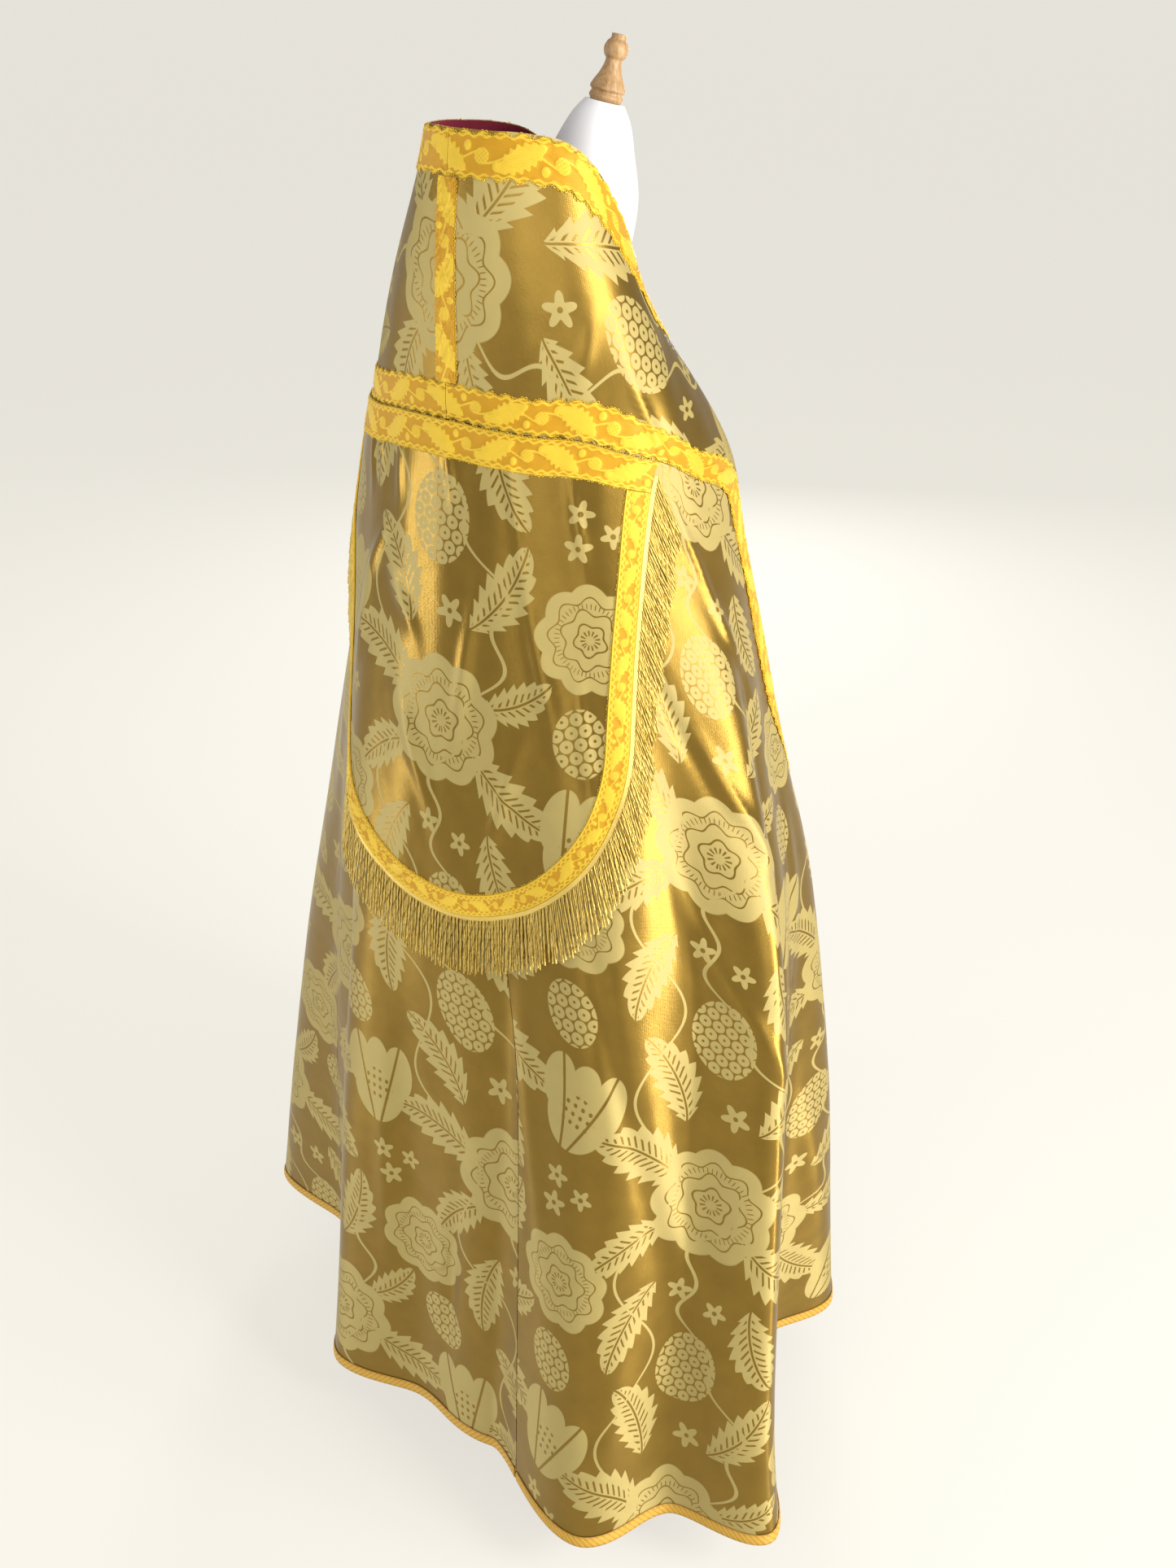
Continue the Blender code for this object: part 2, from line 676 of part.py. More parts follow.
def hood_grid():
    """Sideways and below of the hood's grid: a station a row, edge to spine to edge."""
    shares = hood_stations()
    rim, rim_below = hood_outline(shares, 0.0)
    inner = rim * (1.0 - HOOD_GALLOON / HOOD_HALF_WIDTH)
    inner_below = np.minimum(rim_below, HOOD_SIDE)
    past = np.clip(rim_below - HOOD_SIDE, 0.0, None)
    inner_below = inner_below + past * (1.0 - HOOD_GALLOON / (HOOD_LENGTH - HOOD_SIDE))
    spine_below = np.minimum(rim_below, HOOD_SIDE) + past * SPINE_SHARE
    share = np.linspace(0.0, 1.0, HOOD_COLUMNS)[None, :]
    sideways = mix(inner[:, None], 0.0, share)
    below = mix(inner_below[:, None], spine_below[:, None], share)
    sideways = np.concatenate([rim[:, None], sideways], axis=1)
    below = np.concatenate([rim_below[:, None], below], axis=1)
    sideways = np.concatenate([sideways, -sideways[:, -2::-1]], axis=1)
    below = np.concatenate([below, below[:, -2::-1]], axis=1)
    return sideways, below


def build_hood():
    """The shield-shaped hood with a wide galloon on top and a narrow one round it."""
    sideways, below = hood_grid()
    sheet = Sheet.worn(*hood_place(sideways, below), hood_lift(below))
    rows, columns = sideways.shape

    def number(i, j):
        if i == rows - 1:
            j = min(j, columns - 1 - j)
        return i * columns + j
    half = CLOTH / 2
    wall("hood", sheet, -half, half, "damask", number)
    low = half + SEAM
    top = sheet.part(slice(0, 2), slice(None)).turned().drawn_in(TRIM_INSET / 2, SEAM)
    top = top.turned().drawn_in(TRIM_INSET / 2, TRIM_INSET / 2)
    wall("galloon_hood_top", top, low, low + TRIM, "galloon")
    left = sheet.part(slice(None), slice(0, 2))
    right = sheet.part(slice(None), slice(None, -3, -1))
    border = Sheet.joined([left, right.part(slice(-2, None, -1), slice(None))])
    edge = border.part(slice(1, -1), slice(None)).drawn_in(TRIM_INSET / 2, 0.0)
    edge = edge.turned().drawn_in(SEAM, SEAM).turned()
    wall("galloon_hood_edge", edge, low, low + TRIM, "galloon")
    return border


def along_rows(values, places, wanted):
    """Rows of values read at wanted places between their own."""
    return np.stack([np.interp(wanted, places, values[:, k]) for k in range(3)], axis=-1)


def unit(vectors):
    """The vectors at length 1."""
    return vectors / np.linalg.norm(vectors, axis=-1, keepdims=True)


def build_fringe(border):
    """The hood's fringe: a narrow head beside the hood's edge, and its strands."""
    rim = border.points[:, 0]
    normals = border.normals[:, 0]
    away = unit(np.cross(np.gradient(rim, axis=0), normals))
    inward = border.points[:, 1] - rim
    away *= -np.sign(np.sum(away * inward, axis=-1, keepdims=True))
    stations = hood_stations()
    places = np.concatenate([stations, 1.0 - stations[-2::-1]])
    shares = np.linspace(FRINGE_START, 1.0 - FRINGE_START, FRINGE_STRANDS + 1)
    beside = along_rows(away, places, shares)
    up = along_rows(normals, places, shares)
    near = along_rows(rim, places, shares) + beside * SEAM * 2 + up * FRINGE_LIFT
    far = near + beside * FRINGE_HEAD
    half_up = up * FRINGE_THICKNESS / 2
    corners = np.stack([near + half_up, near - half_up, far - half_up, far + half_up], axis=1)
    points = [tuple(point) for point in corners.reshape(-1, 3)]

    middle = (shares[1:] + shares[:-1]) / 2
    root = np.stack(hood_outline(middle, 0.0), axis=-1)
    out = unit(np.stack(hood_outline(middle, -FRINGE_HEAD), axis=-1) - root)
    hang = unit(out * FRINGE_FLARE + np.array([0.0, 1.0]))
    count = np.arange(FRINGE_STRANDS)
    length = FRINGE_HEAD + FRINGE_LENGTH * (1.0 + STRAND_UNEVEN * np.sin(count * 1.7))
    tip = root + hang * length[:, None]
    tip[:, 0] += STRAND_SWAY * np.sin(count * 2.4)
    tips = Sheet.worn(*hood_place(tip[:, 0], tip[:, 1]), hood_lift(tip[:, 1]) + FRINGE_LIFT)
    side = unit(far[1:] - far[:-1])
    raised = unit(up[1:] + up[:-1])

    faces = []
    for i in range(FRINGE_STRANDS):
        a, b = 4 * i, 4 * i + 4
        faces += [(a, b, b + 1, a + 1), (a + 1, b + 1, b + 2, a + 2), (a + 3, b + 3, b, a)]
        ring = list(range(len(points), len(points) + 4))
        for across, height in ((-0.5, -0.25), (0.5, -0.25), (0.5, 0.25), (-0.5, 0.25)):
            points.append(tuple(tips.points[i] + side[i] * across * STRAND_WIDTH
                                + raised[i] * height * STRAND_WIDTH))
        around = (a + 2, b + 2, b + 3, a + 3)
        for k in range(4):
            m = (k + 1) % 4
            faces.append((around[k], around[m], ring[m], ring[k]))
        faces.append(tuple(ring))
    b = 4 * FRINGE_STRANDS
    faces += [(0, 1, 2, 3), (b + 3, b + 2, b + 1, b)]
    new_object("fringe_hood", points, faces, "fringe")


def facing_front(facing):
    """Unit vectors ahead of the form and across it."""
    turn = math.radians(facing)
    ahead = Vector((-math.sin(turn), math.cos(turn), 0.0))
    across = Vector((math.cos(turn), math.sin(turn), 0.0))
    return ahead, across


def inside_cloth(point, gap):
    """The point, drawn in where it would reach the cloth that hangs over it."""
    angle = math.degrees(math.atan2(-point.x, point.y))
    top = float(neck_height(on_neck_table(angle)))
    drop = (top - point.z) / (top - HEM_HEIGHT)
    if drop < 0.01:
        return point
    spot = surface(angle, drop)
    normal = outward(angle, drop)
    away = math.hypot(point.x, point.y)
    slope = max(math.hypot(normal[0], normal[1]), 0.3)
    limit = math.hypot(spot[0], spot[1]) - (CLOTH / 2 + gap) / slope
    if drop < 0.06:
        limit -= (LINING + SEAM) / slope
    if away <= limit:
        return point
    return Vector((point.x * limit / away, point.y * limit / away, point.z))


def build_form():
    """The torso and neck of the dress form, one smooth closed body."""
    ahead, across = facing_front(FORM_FACING)
    rings = []
    for row in FORM_RINGS:
        lean = math.radians(row.tilt)
        forward = ahead * math.cos(lean) - Vector((0.0, 0.0, 1.0)) * math.sin(lean)
        centre = ahead * row.ahead + Vector((0.0, 0.0, row.height))
        ring = []
        for i in range(FORM_COLUMNS):
            turn = 2.0 * math.pi * i / FORM_COLUMNS
            point = (centre + forward * row.depth * math.cos(turn)
                     + across * row.width * math.sin(turn))
            ring.append(inside_cloth(point, row.gap))
        rings.append(ring)
    capped_stack("dress_form", rings, "jersey")


def capped_stack(name, rings, finish):
    """A closed body through rings of equal count, with flat ends."""
    columns = len(rings[0])
    points = [point for ring in rings for point in ring]
    faces = []
    for i in range(len(rings) - 1):
        for j in range(columns):
            k = (j + 1) % columns
            faces.append((i * columns + j, i * columns + k,
                          (i + 1) * columns + k, (i + 1) * columns + j))
    faces.append(tuple(range(columns))[::-1])
    last = (len(rings) - 1) * columns
    faces.append(tuple(range(last, last + columns)))
    return new_object(name, points, faces, finish)


def build_knob():
    """The turned wood knob on the neck."""
    ahead, _ = facing_front(FORM_FACING)
    lean = math.radians(NECK_LEAN)
    axis = ahead * math.sin(lean) + Vector((0.0, 0.0, math.cos(lean)))
    across = axis.cross(ahead).normalized()
    other = axis.cross(across)
    last = FORM_RINGS[-1]
    foot = ahead * last.ahead + Vector((0.0, 0.0, last.height)) + axis * SEAM
    rings = []
    for row in KNOB_PROFILE:
        ring = []
        for i in range(TURNED_COLUMNS):
            turn = 2.0 * math.pi * i / TURNED_COLUMNS
            around = across * math.cos(turn) + other * math.sin(turn)
            ring.append(foot + axis * row.along + around * row.radius)
        rings.append(ring)
    capped_stack("neck_knob", rings, "wood")


def upright_stack(name, profile, columns, finish):
    """A turned body about the stand's axis from heights and radii."""
    rings = []
    for height, radius in profile:
        rings.append([Vector((radius * math.cos(2.0 * math.pi * i / columns),
                              radius * math.sin(2.0 * math.pi * i / columns), height))
                      for i in range(columns)])
    capped_stack(name, rings, finish)


def build_stand():
    """The pole and the round foot that carry the form."""
    top = FORM_RINGS[0].height - SEAM
    upright_stack("stand_pole", ((BASE_THICKNESS + SEAM, POLE_RADIUS), (top, POLE_RADIUS)),
                  TURNED_COLUMNS, "steel")
    bevel = 0.006
    upright_stack("stand_base", ((0.0, BASE_RADIUS), (BASE_THICKNESS - bevel, BASE_RADIUS),
                                 (BASE_THICKNESS - bevel / 3, BASE_RADIUS - bevel / 2),
                                 (BASE_THICKNESS, BASE_RADIUS - bevel * 1.6)),
                  BASE_COLUMNS, "steel")


def clear_scene():
    """Remove what the scene starts with."""
    for thing in list(bpy.data.objects):
        bpy.data.objects.remove(thing, do_unlink=True)


def build_all():
    """Build every piece in the order in which it is sewn and stood up."""
    build_stand()
    build_form()
    build_knob()
    build_body(RIGHT)
    build_body(LEFT)
    right = orphrey_sheet(RIGHT)
    left = orphrey_sheet(LEFT)
    build_orphrey(RIGHT, right)
    build_orphrey(LEFT, left)
    build_neck_lining(right, left)
    build_back_strip(right, left)
    build_clasp(right, left)
    border = build_hood()
    build_fringe(border)


clear_scene()
FINISHES = {
    "damask": new_material("gold damask", (0.34, 0.24, 0.06), 0.42),
    "lining": new_material("crimson lining", (0.25, 0.01, 0.04), 0.70),
    "galloon": new_material("yellow galloon", (0.80, 0.48, 0.03), 0.48),
    "braid": new_material("ochre braid", (0.62, 0.36, 0.03), 0.55),
    "fringe": new_material("gold fringe", (0.55, 0.42, 0.12), 0.40),
    "jersey": new_material("white jersey", (0.82, 0.82, 0.84), 0.85),
    "wood": new_material("oiled oak", (0.42, 0.24, 0.10), 0.45),
    "steel": new_material("painted steel", (0.08, 0.08, 0.09), 0.45),
}
build_all()
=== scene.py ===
"""Looks of a gold damask cope worn on a limbless dress form.

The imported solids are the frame.  Every piece of cloth is made again here on a finer
grid of the same worn surface, with its creases, weave and sewing, and stands for its
own solid.  Two values address a place on that surface:
  angle  degrees round the stand, 0 straight back, positive to the wearer's right
  drop   0 at the neck edge, 1 at the hem
"""
from __future__ import annotations

import logging
import math
from collections import namedtuple
from dataclasses import dataclass, field
from enum import Enum
from typing import Callable, Sequence

import bpy
import numpy as np
from mathutils import Matrix, Vector


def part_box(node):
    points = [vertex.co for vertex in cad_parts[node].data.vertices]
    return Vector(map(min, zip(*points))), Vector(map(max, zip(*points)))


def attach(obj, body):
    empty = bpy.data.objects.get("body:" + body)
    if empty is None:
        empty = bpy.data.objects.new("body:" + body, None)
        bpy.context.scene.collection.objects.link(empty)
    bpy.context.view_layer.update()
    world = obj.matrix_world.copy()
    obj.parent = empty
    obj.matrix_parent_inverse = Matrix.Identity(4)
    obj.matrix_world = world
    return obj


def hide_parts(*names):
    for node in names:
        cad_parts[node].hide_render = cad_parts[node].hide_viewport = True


logging.basicConfig(level=logging.INFO, format="%(name)s: %(message)s")
LOG = logging.getLogger("cope")
ROOT = "root"

# Driving sizes of the cloth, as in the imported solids, in metres
HEM_HEIGHT = 0.090
FALL_LENGTH = 1.48
CLOTH = 0.0020
SEAM = 0.0003
NECK_GALLOON = 0.041
ORPHREY_GALLOON = 0.034
HOOD_GALLOON = 0.023
HEM_BRAID = 0.014
FRONT_GAP = 0.030

NeckPoint = namedtuple("NeckPoint", "angle radius height")
NECK_EDGE = (
    NeckPoint(-196, 0.075, 1.366),
    NeckPoint(-176, 0.078, 1.430),
    NeckPoint(-152, 0.086, 1.505),
    NeckPoint(-123, 0.095, 1.538),
    NeckPoint(-81, 0.110, 1.549),
    NeckPoint(-47, 0.122, 1.555),
    NeckPoint(-19, 0.136, 1.562),
    NeckPoint(12, 0.135, 1.562),
    NeckPoint(30, 0.131, 1.557),
    NeckPoint(38, 0.129, 1.549),
    NeckPoint(47, 0.124, 1.530),
    NeckPoint(56, 0.118, 1.503),
    NeckPoint(65, 0.111, 1.473),
    NeckPoint(78, 0.098, 1.433),
    NeckPoint(100, 0.083, 1.400),
    NeckPoint(120, 0.076, 1.380),
    NeckPoint(140, 0.074, 1.366),
    NeckPoint(164, 0.075, 1.366),
)
NECK_BLEND = 0.14
NECK_FLARE = 0.25

Section = namedtuple("Section", "drop right left back front")
SECTIONS = (
    Section(0.00, 0.135, 0.122, 0.140, 0.125),
    Section(0.06, 0.164, 0.151, 0.155, 0.148),
    Section(0.12, 0.187, 0.174, 0.165, 0.160),
    Section(0.18, 0.200, 0.195, 0.176, 0.170),
    Section(0.26, 0.224, 0.218, 0.190, 0.184),
    Section(0.36, 0.257, 0.246, 0.210, 0.206),
    Section(0.50, 0.309, 0.288, 0.236, 0.240),
    Section(0.70, 0.349, 0.341, 0.275, 0.280),
    Section(1.00, 0.388, 0.398, 0.330, 0.330),
)

Fold = namedtuple("Fold", "name angle radius begins lean")
FOLDS = (
    Fold("left front crest", -158, 0.350, 0.30, 0),
    Fold("left front trough", -139, 0.300, 0.34, 2),
    Fold("left arm crest", -119, 0.420, 0.22, 0),
    Fold("left arm trough", -98, 0.360, 0.30, 0),
    Fold("left back crest", -79, 0.438, 0.20, -4),
    Fold("left back flank", -66, 0.318, 0.28, -2),
    Fold("left back trough", -50, 0.250, 0.26, -5),
    Fold("centre back crest", -24, 0.356, 0.30, -9),
    Fold("centre back trough", -5, 0.316, 0.45, -4),
    Fold("seam shoulder", 15, 0.345, 0.45, 0),
    Fold("right back crest", 33, 0.472, 0.30, 10),
    Fold("right back dip", 46, 0.444, 0.45, 12),
    Fold("right arm crest", 57, 0.524, 0.22, 20),
    Fold("right arm flank", 70, 0.370, 0.20, 16),
    Fold("right arm trough", 88, 0.312, 0.22, 10),
    Fold("right side crest", 104, 0.370, 0.26, 4),
    Fold("right side rest", 120, 0.346, 0.30, 0),
    Fold("right front trough", 140, 0.308, 0.34, -2),
    Fold("right front crest", 158, 0.350, 0.30, 0),
    Fold("front opening", 180, 0.330, 0.30, 0),
)
FOLD_GROWTH = 1.15

# Creases: half sizes and height in metres, slant in degrees from plumb
Crease = namedtuple("Crease", "angle drop wide long high slant")
CREASES = (
    Crease(-62, 0.26, 0.012, 0.090, 0.0026, 8),
    Crease(-84, 0.30, 0.014, 0.120, -0.0054, -6),
    Crease(-40, 0.33, 0.010, 0.060, 0.0026, 14),
    Crease(-70, 0.45, 0.016, 0.140, 0.0061, 5),
    Crease(-36, 0.62, 0.015, 0.150, -0.0058, 3),
    Crease(-88, 0.66, 0.018, 0.180, 0.0068, -4),
    Crease(-58, 0.80, 0.016, 0.160, 0.0061, 2),
    Crease(-15, 0.78, 0.014, 0.140, 0.0054, -3),
    Crease(4, 0.86, 0.012, 0.110, -0.0051, 4),
    Crease(24, 0.70, 0.014, 0.170, 0.0058, -4),
    Crease(40, 0.60, 0.012, 0.150, -0.0061, -7),
    Crease(51, 0.78, 0.013, 0.170, 0.0061, -5),
    Crease(38, 0.88, 0.012, 0.090, 0.0044, 9),
    Crease(64, 0.55, 0.010, 0.120, 0.0051, -16),
    Crease(72, 0.40, 0.009, 0.080, 0.0048, -22),
    Crease(60, 0.34, 0.009, 0.070, -0.0044, -24),
    Crease(48, 0.30, 0.008, 0.055, 0.0028, -18),
    Crease(80, 0.26, 0.009, 0.060, 0.0044, -28),
    Crease(70, 0.20, 0.008, 0.045, 0.0037, -34),
    Crease(58, 0.13, 0.009, 0.040, 0.0034, -40),
    Crease(40, 0.11, 0.010, 0.035, 0.0027, 30),
    Crease(80, 0.62, 0.012, 0.140, 0.0058, 6),
    Crease(96, 0.50, 0.012, 0.110, 0.0054, 10),
    Crease(112, 0.64, 0.013, 0.130, -0.0058, 4),
    Crease(98, 0.80, 0.014, 0.150, 0.0061, -3),
    Crease(126, 0.84, 0.012, 0.120, 0.0051, 2),
    Crease(-104, 0.42, 0.012, 0.110, 0.0054, -10),
    Crease(-112, 0.70, 0.014, 0.150, 0.0065, 3),
    Crease(-126, 0.86, 0.012, 0.110, -0.0051, -4),
    Crease(-100, 0.20, 0.010, 0.060, 0.0037, 24),
    Crease(-70, 0.12, 0.012, 0.045, 0.0031, 34),
    Crease(-118, 0.12, 0.010, 0.050, 0.0034, 28),
    Crease(-150, 0.55, 0.012, 0.130, 0.0051, 4),
    Crease(150, 0.50, 0.012, 0.130, 0.0051, -4),
)
HoodCrease = namedtuple("HoodCrease", "across below wide long high slant")
HOOD_CREASES = (
    HoodCrease(-0.122, 0.050, 0.0045, 0.030, 0.0031, 3),
    HoodCrease(-0.100, 0.044, 0.0040, 0.026, 0.0026, -4),
    HoodCrease(-0.060, 0.060, 0.0050, 0.030, 0.0022, 6),
    HoodCrease(0.012, 0.052, 0.0050, 0.034, 0.0024, -6),
    HoodCrease(0.085, 0.066, 0.0055, 0.040, 0.0029, -9),
    HoodCrease(0.150, 0.080, 0.0060, 0.045, 0.0034, -12),
    HoodCrease(-0.110, 0.150, 0.0080, 0.040, 0.0036, 38),
    HoodCrease(-0.060, 0.185, 0.0085, 0.036, 0.0034, -30),
    HoodCrease(-0.140, 0.230, 0.0090, 0.050, 0.0036, 22),
    HoodCrease(0.030, 0.240, 0.0100, 0.070, 0.0036, 12),
    HoodCrease(0.120, 0.220, 0.0090, 0.080, 0.0041, -14),
    HoodCrease(-0.040, 0.350, 0.0110, 0.060, 0.0036, -18),
    HoodCrease(0.080, 0.370, 0.0100, 0.060, 0.0034, 20),
    HoodCrease(0.170, 0.300, 0.0080, 0.070, 0.0036, -8),
)
CREASE_RADIUS = 0.29

LinePoint = namedtuple("LinePoint", "drop angle")
BACK_SEAM = (
    LinePoint(0.00, -12.5),
    LinePoint(0.17, -6.0),
    LinePoint(0.40, 8.0),
    LinePoint(0.55, 17.0),
    LinePoint(0.66, 21.0),
    LinePoint(1.00, 21.8),
)
HOOD_MIDDLE = (
    LinePoint(0.00, -15.0),
    LinePoint(0.17, -8.0),
    LinePoint(0.52, 1.5),
)
FRONT_MIDDLE = (
    LinePoint(0.00, 152.0),
    LinePoint(0.15, 165.0),
    LinePoint(0.40, 177.0),
    LinePoint(1.00, 182.0),
)
EdgePoint = namedtuple("EdgePoint", "angle drop")
ORPHREY_EDGE = (
    EdgePoint(-138.0, 1.000),
    EdgePoint(-136.0, 0.800),
    EdgePoint(-133.0, 0.600),
    EdgePoint(-128.0, 0.440),
    EdgePoint(-120.0, 0.315),
    EdgePoint(-109.0, 0.225),
    EdgePoint(-94.0, 0.186),
    EdgePoint(-50.0, 0.177),
    EdgePoint(-8.0, 0.172),
    EdgePoint(22.0, 0.1745),
    EdgePoint(45.0, 0.168),
    EdgePoint(66.0, 0.148),
    EdgePoint(82.0, 0.142),
    EdgePoint(90.0, 0.148),
    EdgePoint(95.0, 0.185),
    EdgePoint(98.0, 0.250),
    EdgePoint(102.0, 0.330),
    EdgePoint(111.0, 0.395),
    EdgePoint(119.0, 0.440),
    EdgePoint(126.0, 0.530),
    EdgePoint(131.0, 0.660),
    EdgePoint(134.0, 0.800),
    EdgePoint(136.0, 1.000),
)
TURN = 0.34
STRAIGHT_TURN = 0.30
STRAIGHT_SPREAD = 1.15
EDGE_SPREAD = 1.1
TOP_DROP = 0.17
LAST_BODY_SHARE = 0.985
SEAM_REACH = 3
FRONT_CLEAR = 0.12
FRONT_CLEAR_REACH = 0.0167
SEAM_CLEAR_REACH = 0.05

# Hood
HOOD_HALF_WIDTH = 0.215
HOOD_SIDE = 0.300
HOOD_LENGTH = 0.511
HOOD_TAPER = 0.165
HOOD_TAPER_POWER = 0.36
HOOD_LIFT = 0.0008
HOOD_FOOT_LIFT = 0.0090
HOOD_LIFT_POWER = 0.7
FRINGE_LENGTH = 0.062
FRINGE_START = 0.012
FRINGE_HEAD = 0.0045
FRINGE_LIFT = 0.0012
FRINGE_FLARE = 0.65
STRIP_COLUMNS = 20
STRIP_STEP = 0.0019
SCALLOP = 0.0036
SCALLOP_PITCH = 0.0185
TRIM_INSET = 0.0010
NECK_LINING_SHARE = 0.26
BACK_STRIP = 0.022
CLASP_TOP = 0.050
CLASP_FOOT = 0.100
LINING_THICKNESS = 0.0009
CLASP_THICKNESS = 0.0018
CLASP_CLEAR = 0.0008

# Dress form and knob
FormRing = namedtuple("FormRing", "height ahead depth width tilt gap")
FORM_RINGS = (
    FormRing(0.780, 0.000, 0.095, 0.120, 0, 0.0050),
    FormRing(0.800, 0.000, 0.110, 0.138, 0, 0.0050),
    FormRing(0.900, 0.000, 0.112, 0.142, 0, 0.0050),
    FormRing(1.030, 0.000, 0.095, 0.120, 0, 0.0050),
    FormRing(1.140, 0.002, 0.105, 0.135, 0, 0.0050),
    FormRing(1.230, 0.000, 0.106, 0.160, 0, 0.0050),
    FormRing(1.290, -0.004, 0.100, 0.180, 0, 0.0080),
    FormRing(1.335, -0.008, 0.088, 0.190, 2, 0.0020),
    FormRing(1.375, -0.006, 0.074, 0.152, 5, 0.0080),
    FormRing(1.410, 0.000, 0.064, 0.100, 9, 0.0050),
    FormRing(1.440, 0.014, 0.058, 0.064, 12, 0.0050),
    FormRing(1.490, 0.031, 0.051, 0.052, 14, 0.0050),
    FormRing(1.530, 0.040, 0.038, 0.039, 14, 0.0050),
    FormRing(1.555, 0.046, 0.028, 0.029, 14, 0.0050),
    FormRing(1.568, 0.049, 0.019, 0.020, 14, 0.0050),
)
FORM_FACING = 140.0
NECK_LEAN = 14.0
POLE_RADIUS = 0.016
POLE_FOOT = 0.0223
POLE_TOP = 0.7797
BASE_RADIUS = 0.165
BASE_THICKNESS = 0.022
BASE_EDGE = 0.006
KnobPoint = namedtuple("KnobPoint", "along radius")
KNOB_PROFILE = (
    KnobPoint(0.0000, 0.0145),
    KnobPoint(0.0040, 0.0165),
    KnobPoint(0.0080, 0.0150),
    KnobPoint(0.0110, 0.0172),
    KnobPoint(0.0160, 0.0155),
    KnobPoint(0.0260, 0.0105),
    KnobPoint(0.0370, 0.0078),
    KnobPoint(0.0405, 0.0105),
    KnobPoint(0.0460, 0.0118),
    KnobPoint(0.0520, 0.0100),
    KnobPoint(0.0560, 0.0070),
    KnobPoint(0.0595, 0.0072),
)


def smooth(value: np.ndarray) -> np.ndarray:
    """Ease from 0 to 1 with level ends."""
    value = np.clip(value, 0.0, 1.0)
    return value * value * (3.0 - 2.0 * value)


def mix(first, second, share):
    """The value a share of the way from first to second."""
    return first + (second - first) * share


def unit(vectors: np.ndarray) -> np.ndarray:
    """The vectors at length 1."""
    return vectors / np.maximum(np.linalg.norm(vectors, axis=-1, keepdims=True), 1e-12)


class Curve:
    """Monotone cubic through the rows of a table, one column against another."""

    def __init__(self, rows: Sequence, key: str, column: str) -> None:
        """Read two columns.

        Args:
            rows: the table, its key column rising.
            key: name of the column that the curve is asked by.
            column: name of the column that it answers with.
        """
        self.places = np.array([getattr(row, key) for row in rows], dtype=float)
        self.values = np.array([getattr(row, column) for row in rows], dtype=float)
        rises = np.diff(self.values) / np.diff(self.places)
        self.slopes = np.zeros(len(rows))
        self.slopes[0] = rises[0]
        self.slopes[-1] = rises[-1]
        for i in range(1, len(rises)):
            before, after = rises[i - 1], rises[i]
            if before * after > 0.0:
                self.slopes[i] = 2.0 * before * after / (before + after)

    def __call__(self, wanted: np.ndarray) -> np.ndarray:
        """The curve's values at the wanted places."""
        wanted = np.clip(wanted, self.places[0], self.places[-1])
        last = len(self.places) - 2
        index = np.clip(np.searchsorted(self.places, wanted) - 1, 0, last)
        step = self.places[index + 1] - self.places[index]
        share = (wanted - self.places[index]) / step
        hold = 2.0 * share ** 3 - 3.0 * share ** 2 + 1.0
        lead = share ** 3 - 2.0 * share ** 2 + share
        trail = share ** 3 - share ** 2
        return (hold * self.values[index] + (1.0 - hold) * self.values[index + 1]
                + step * (lead * self.slopes[index] + trail * self.slopes[index + 1]))


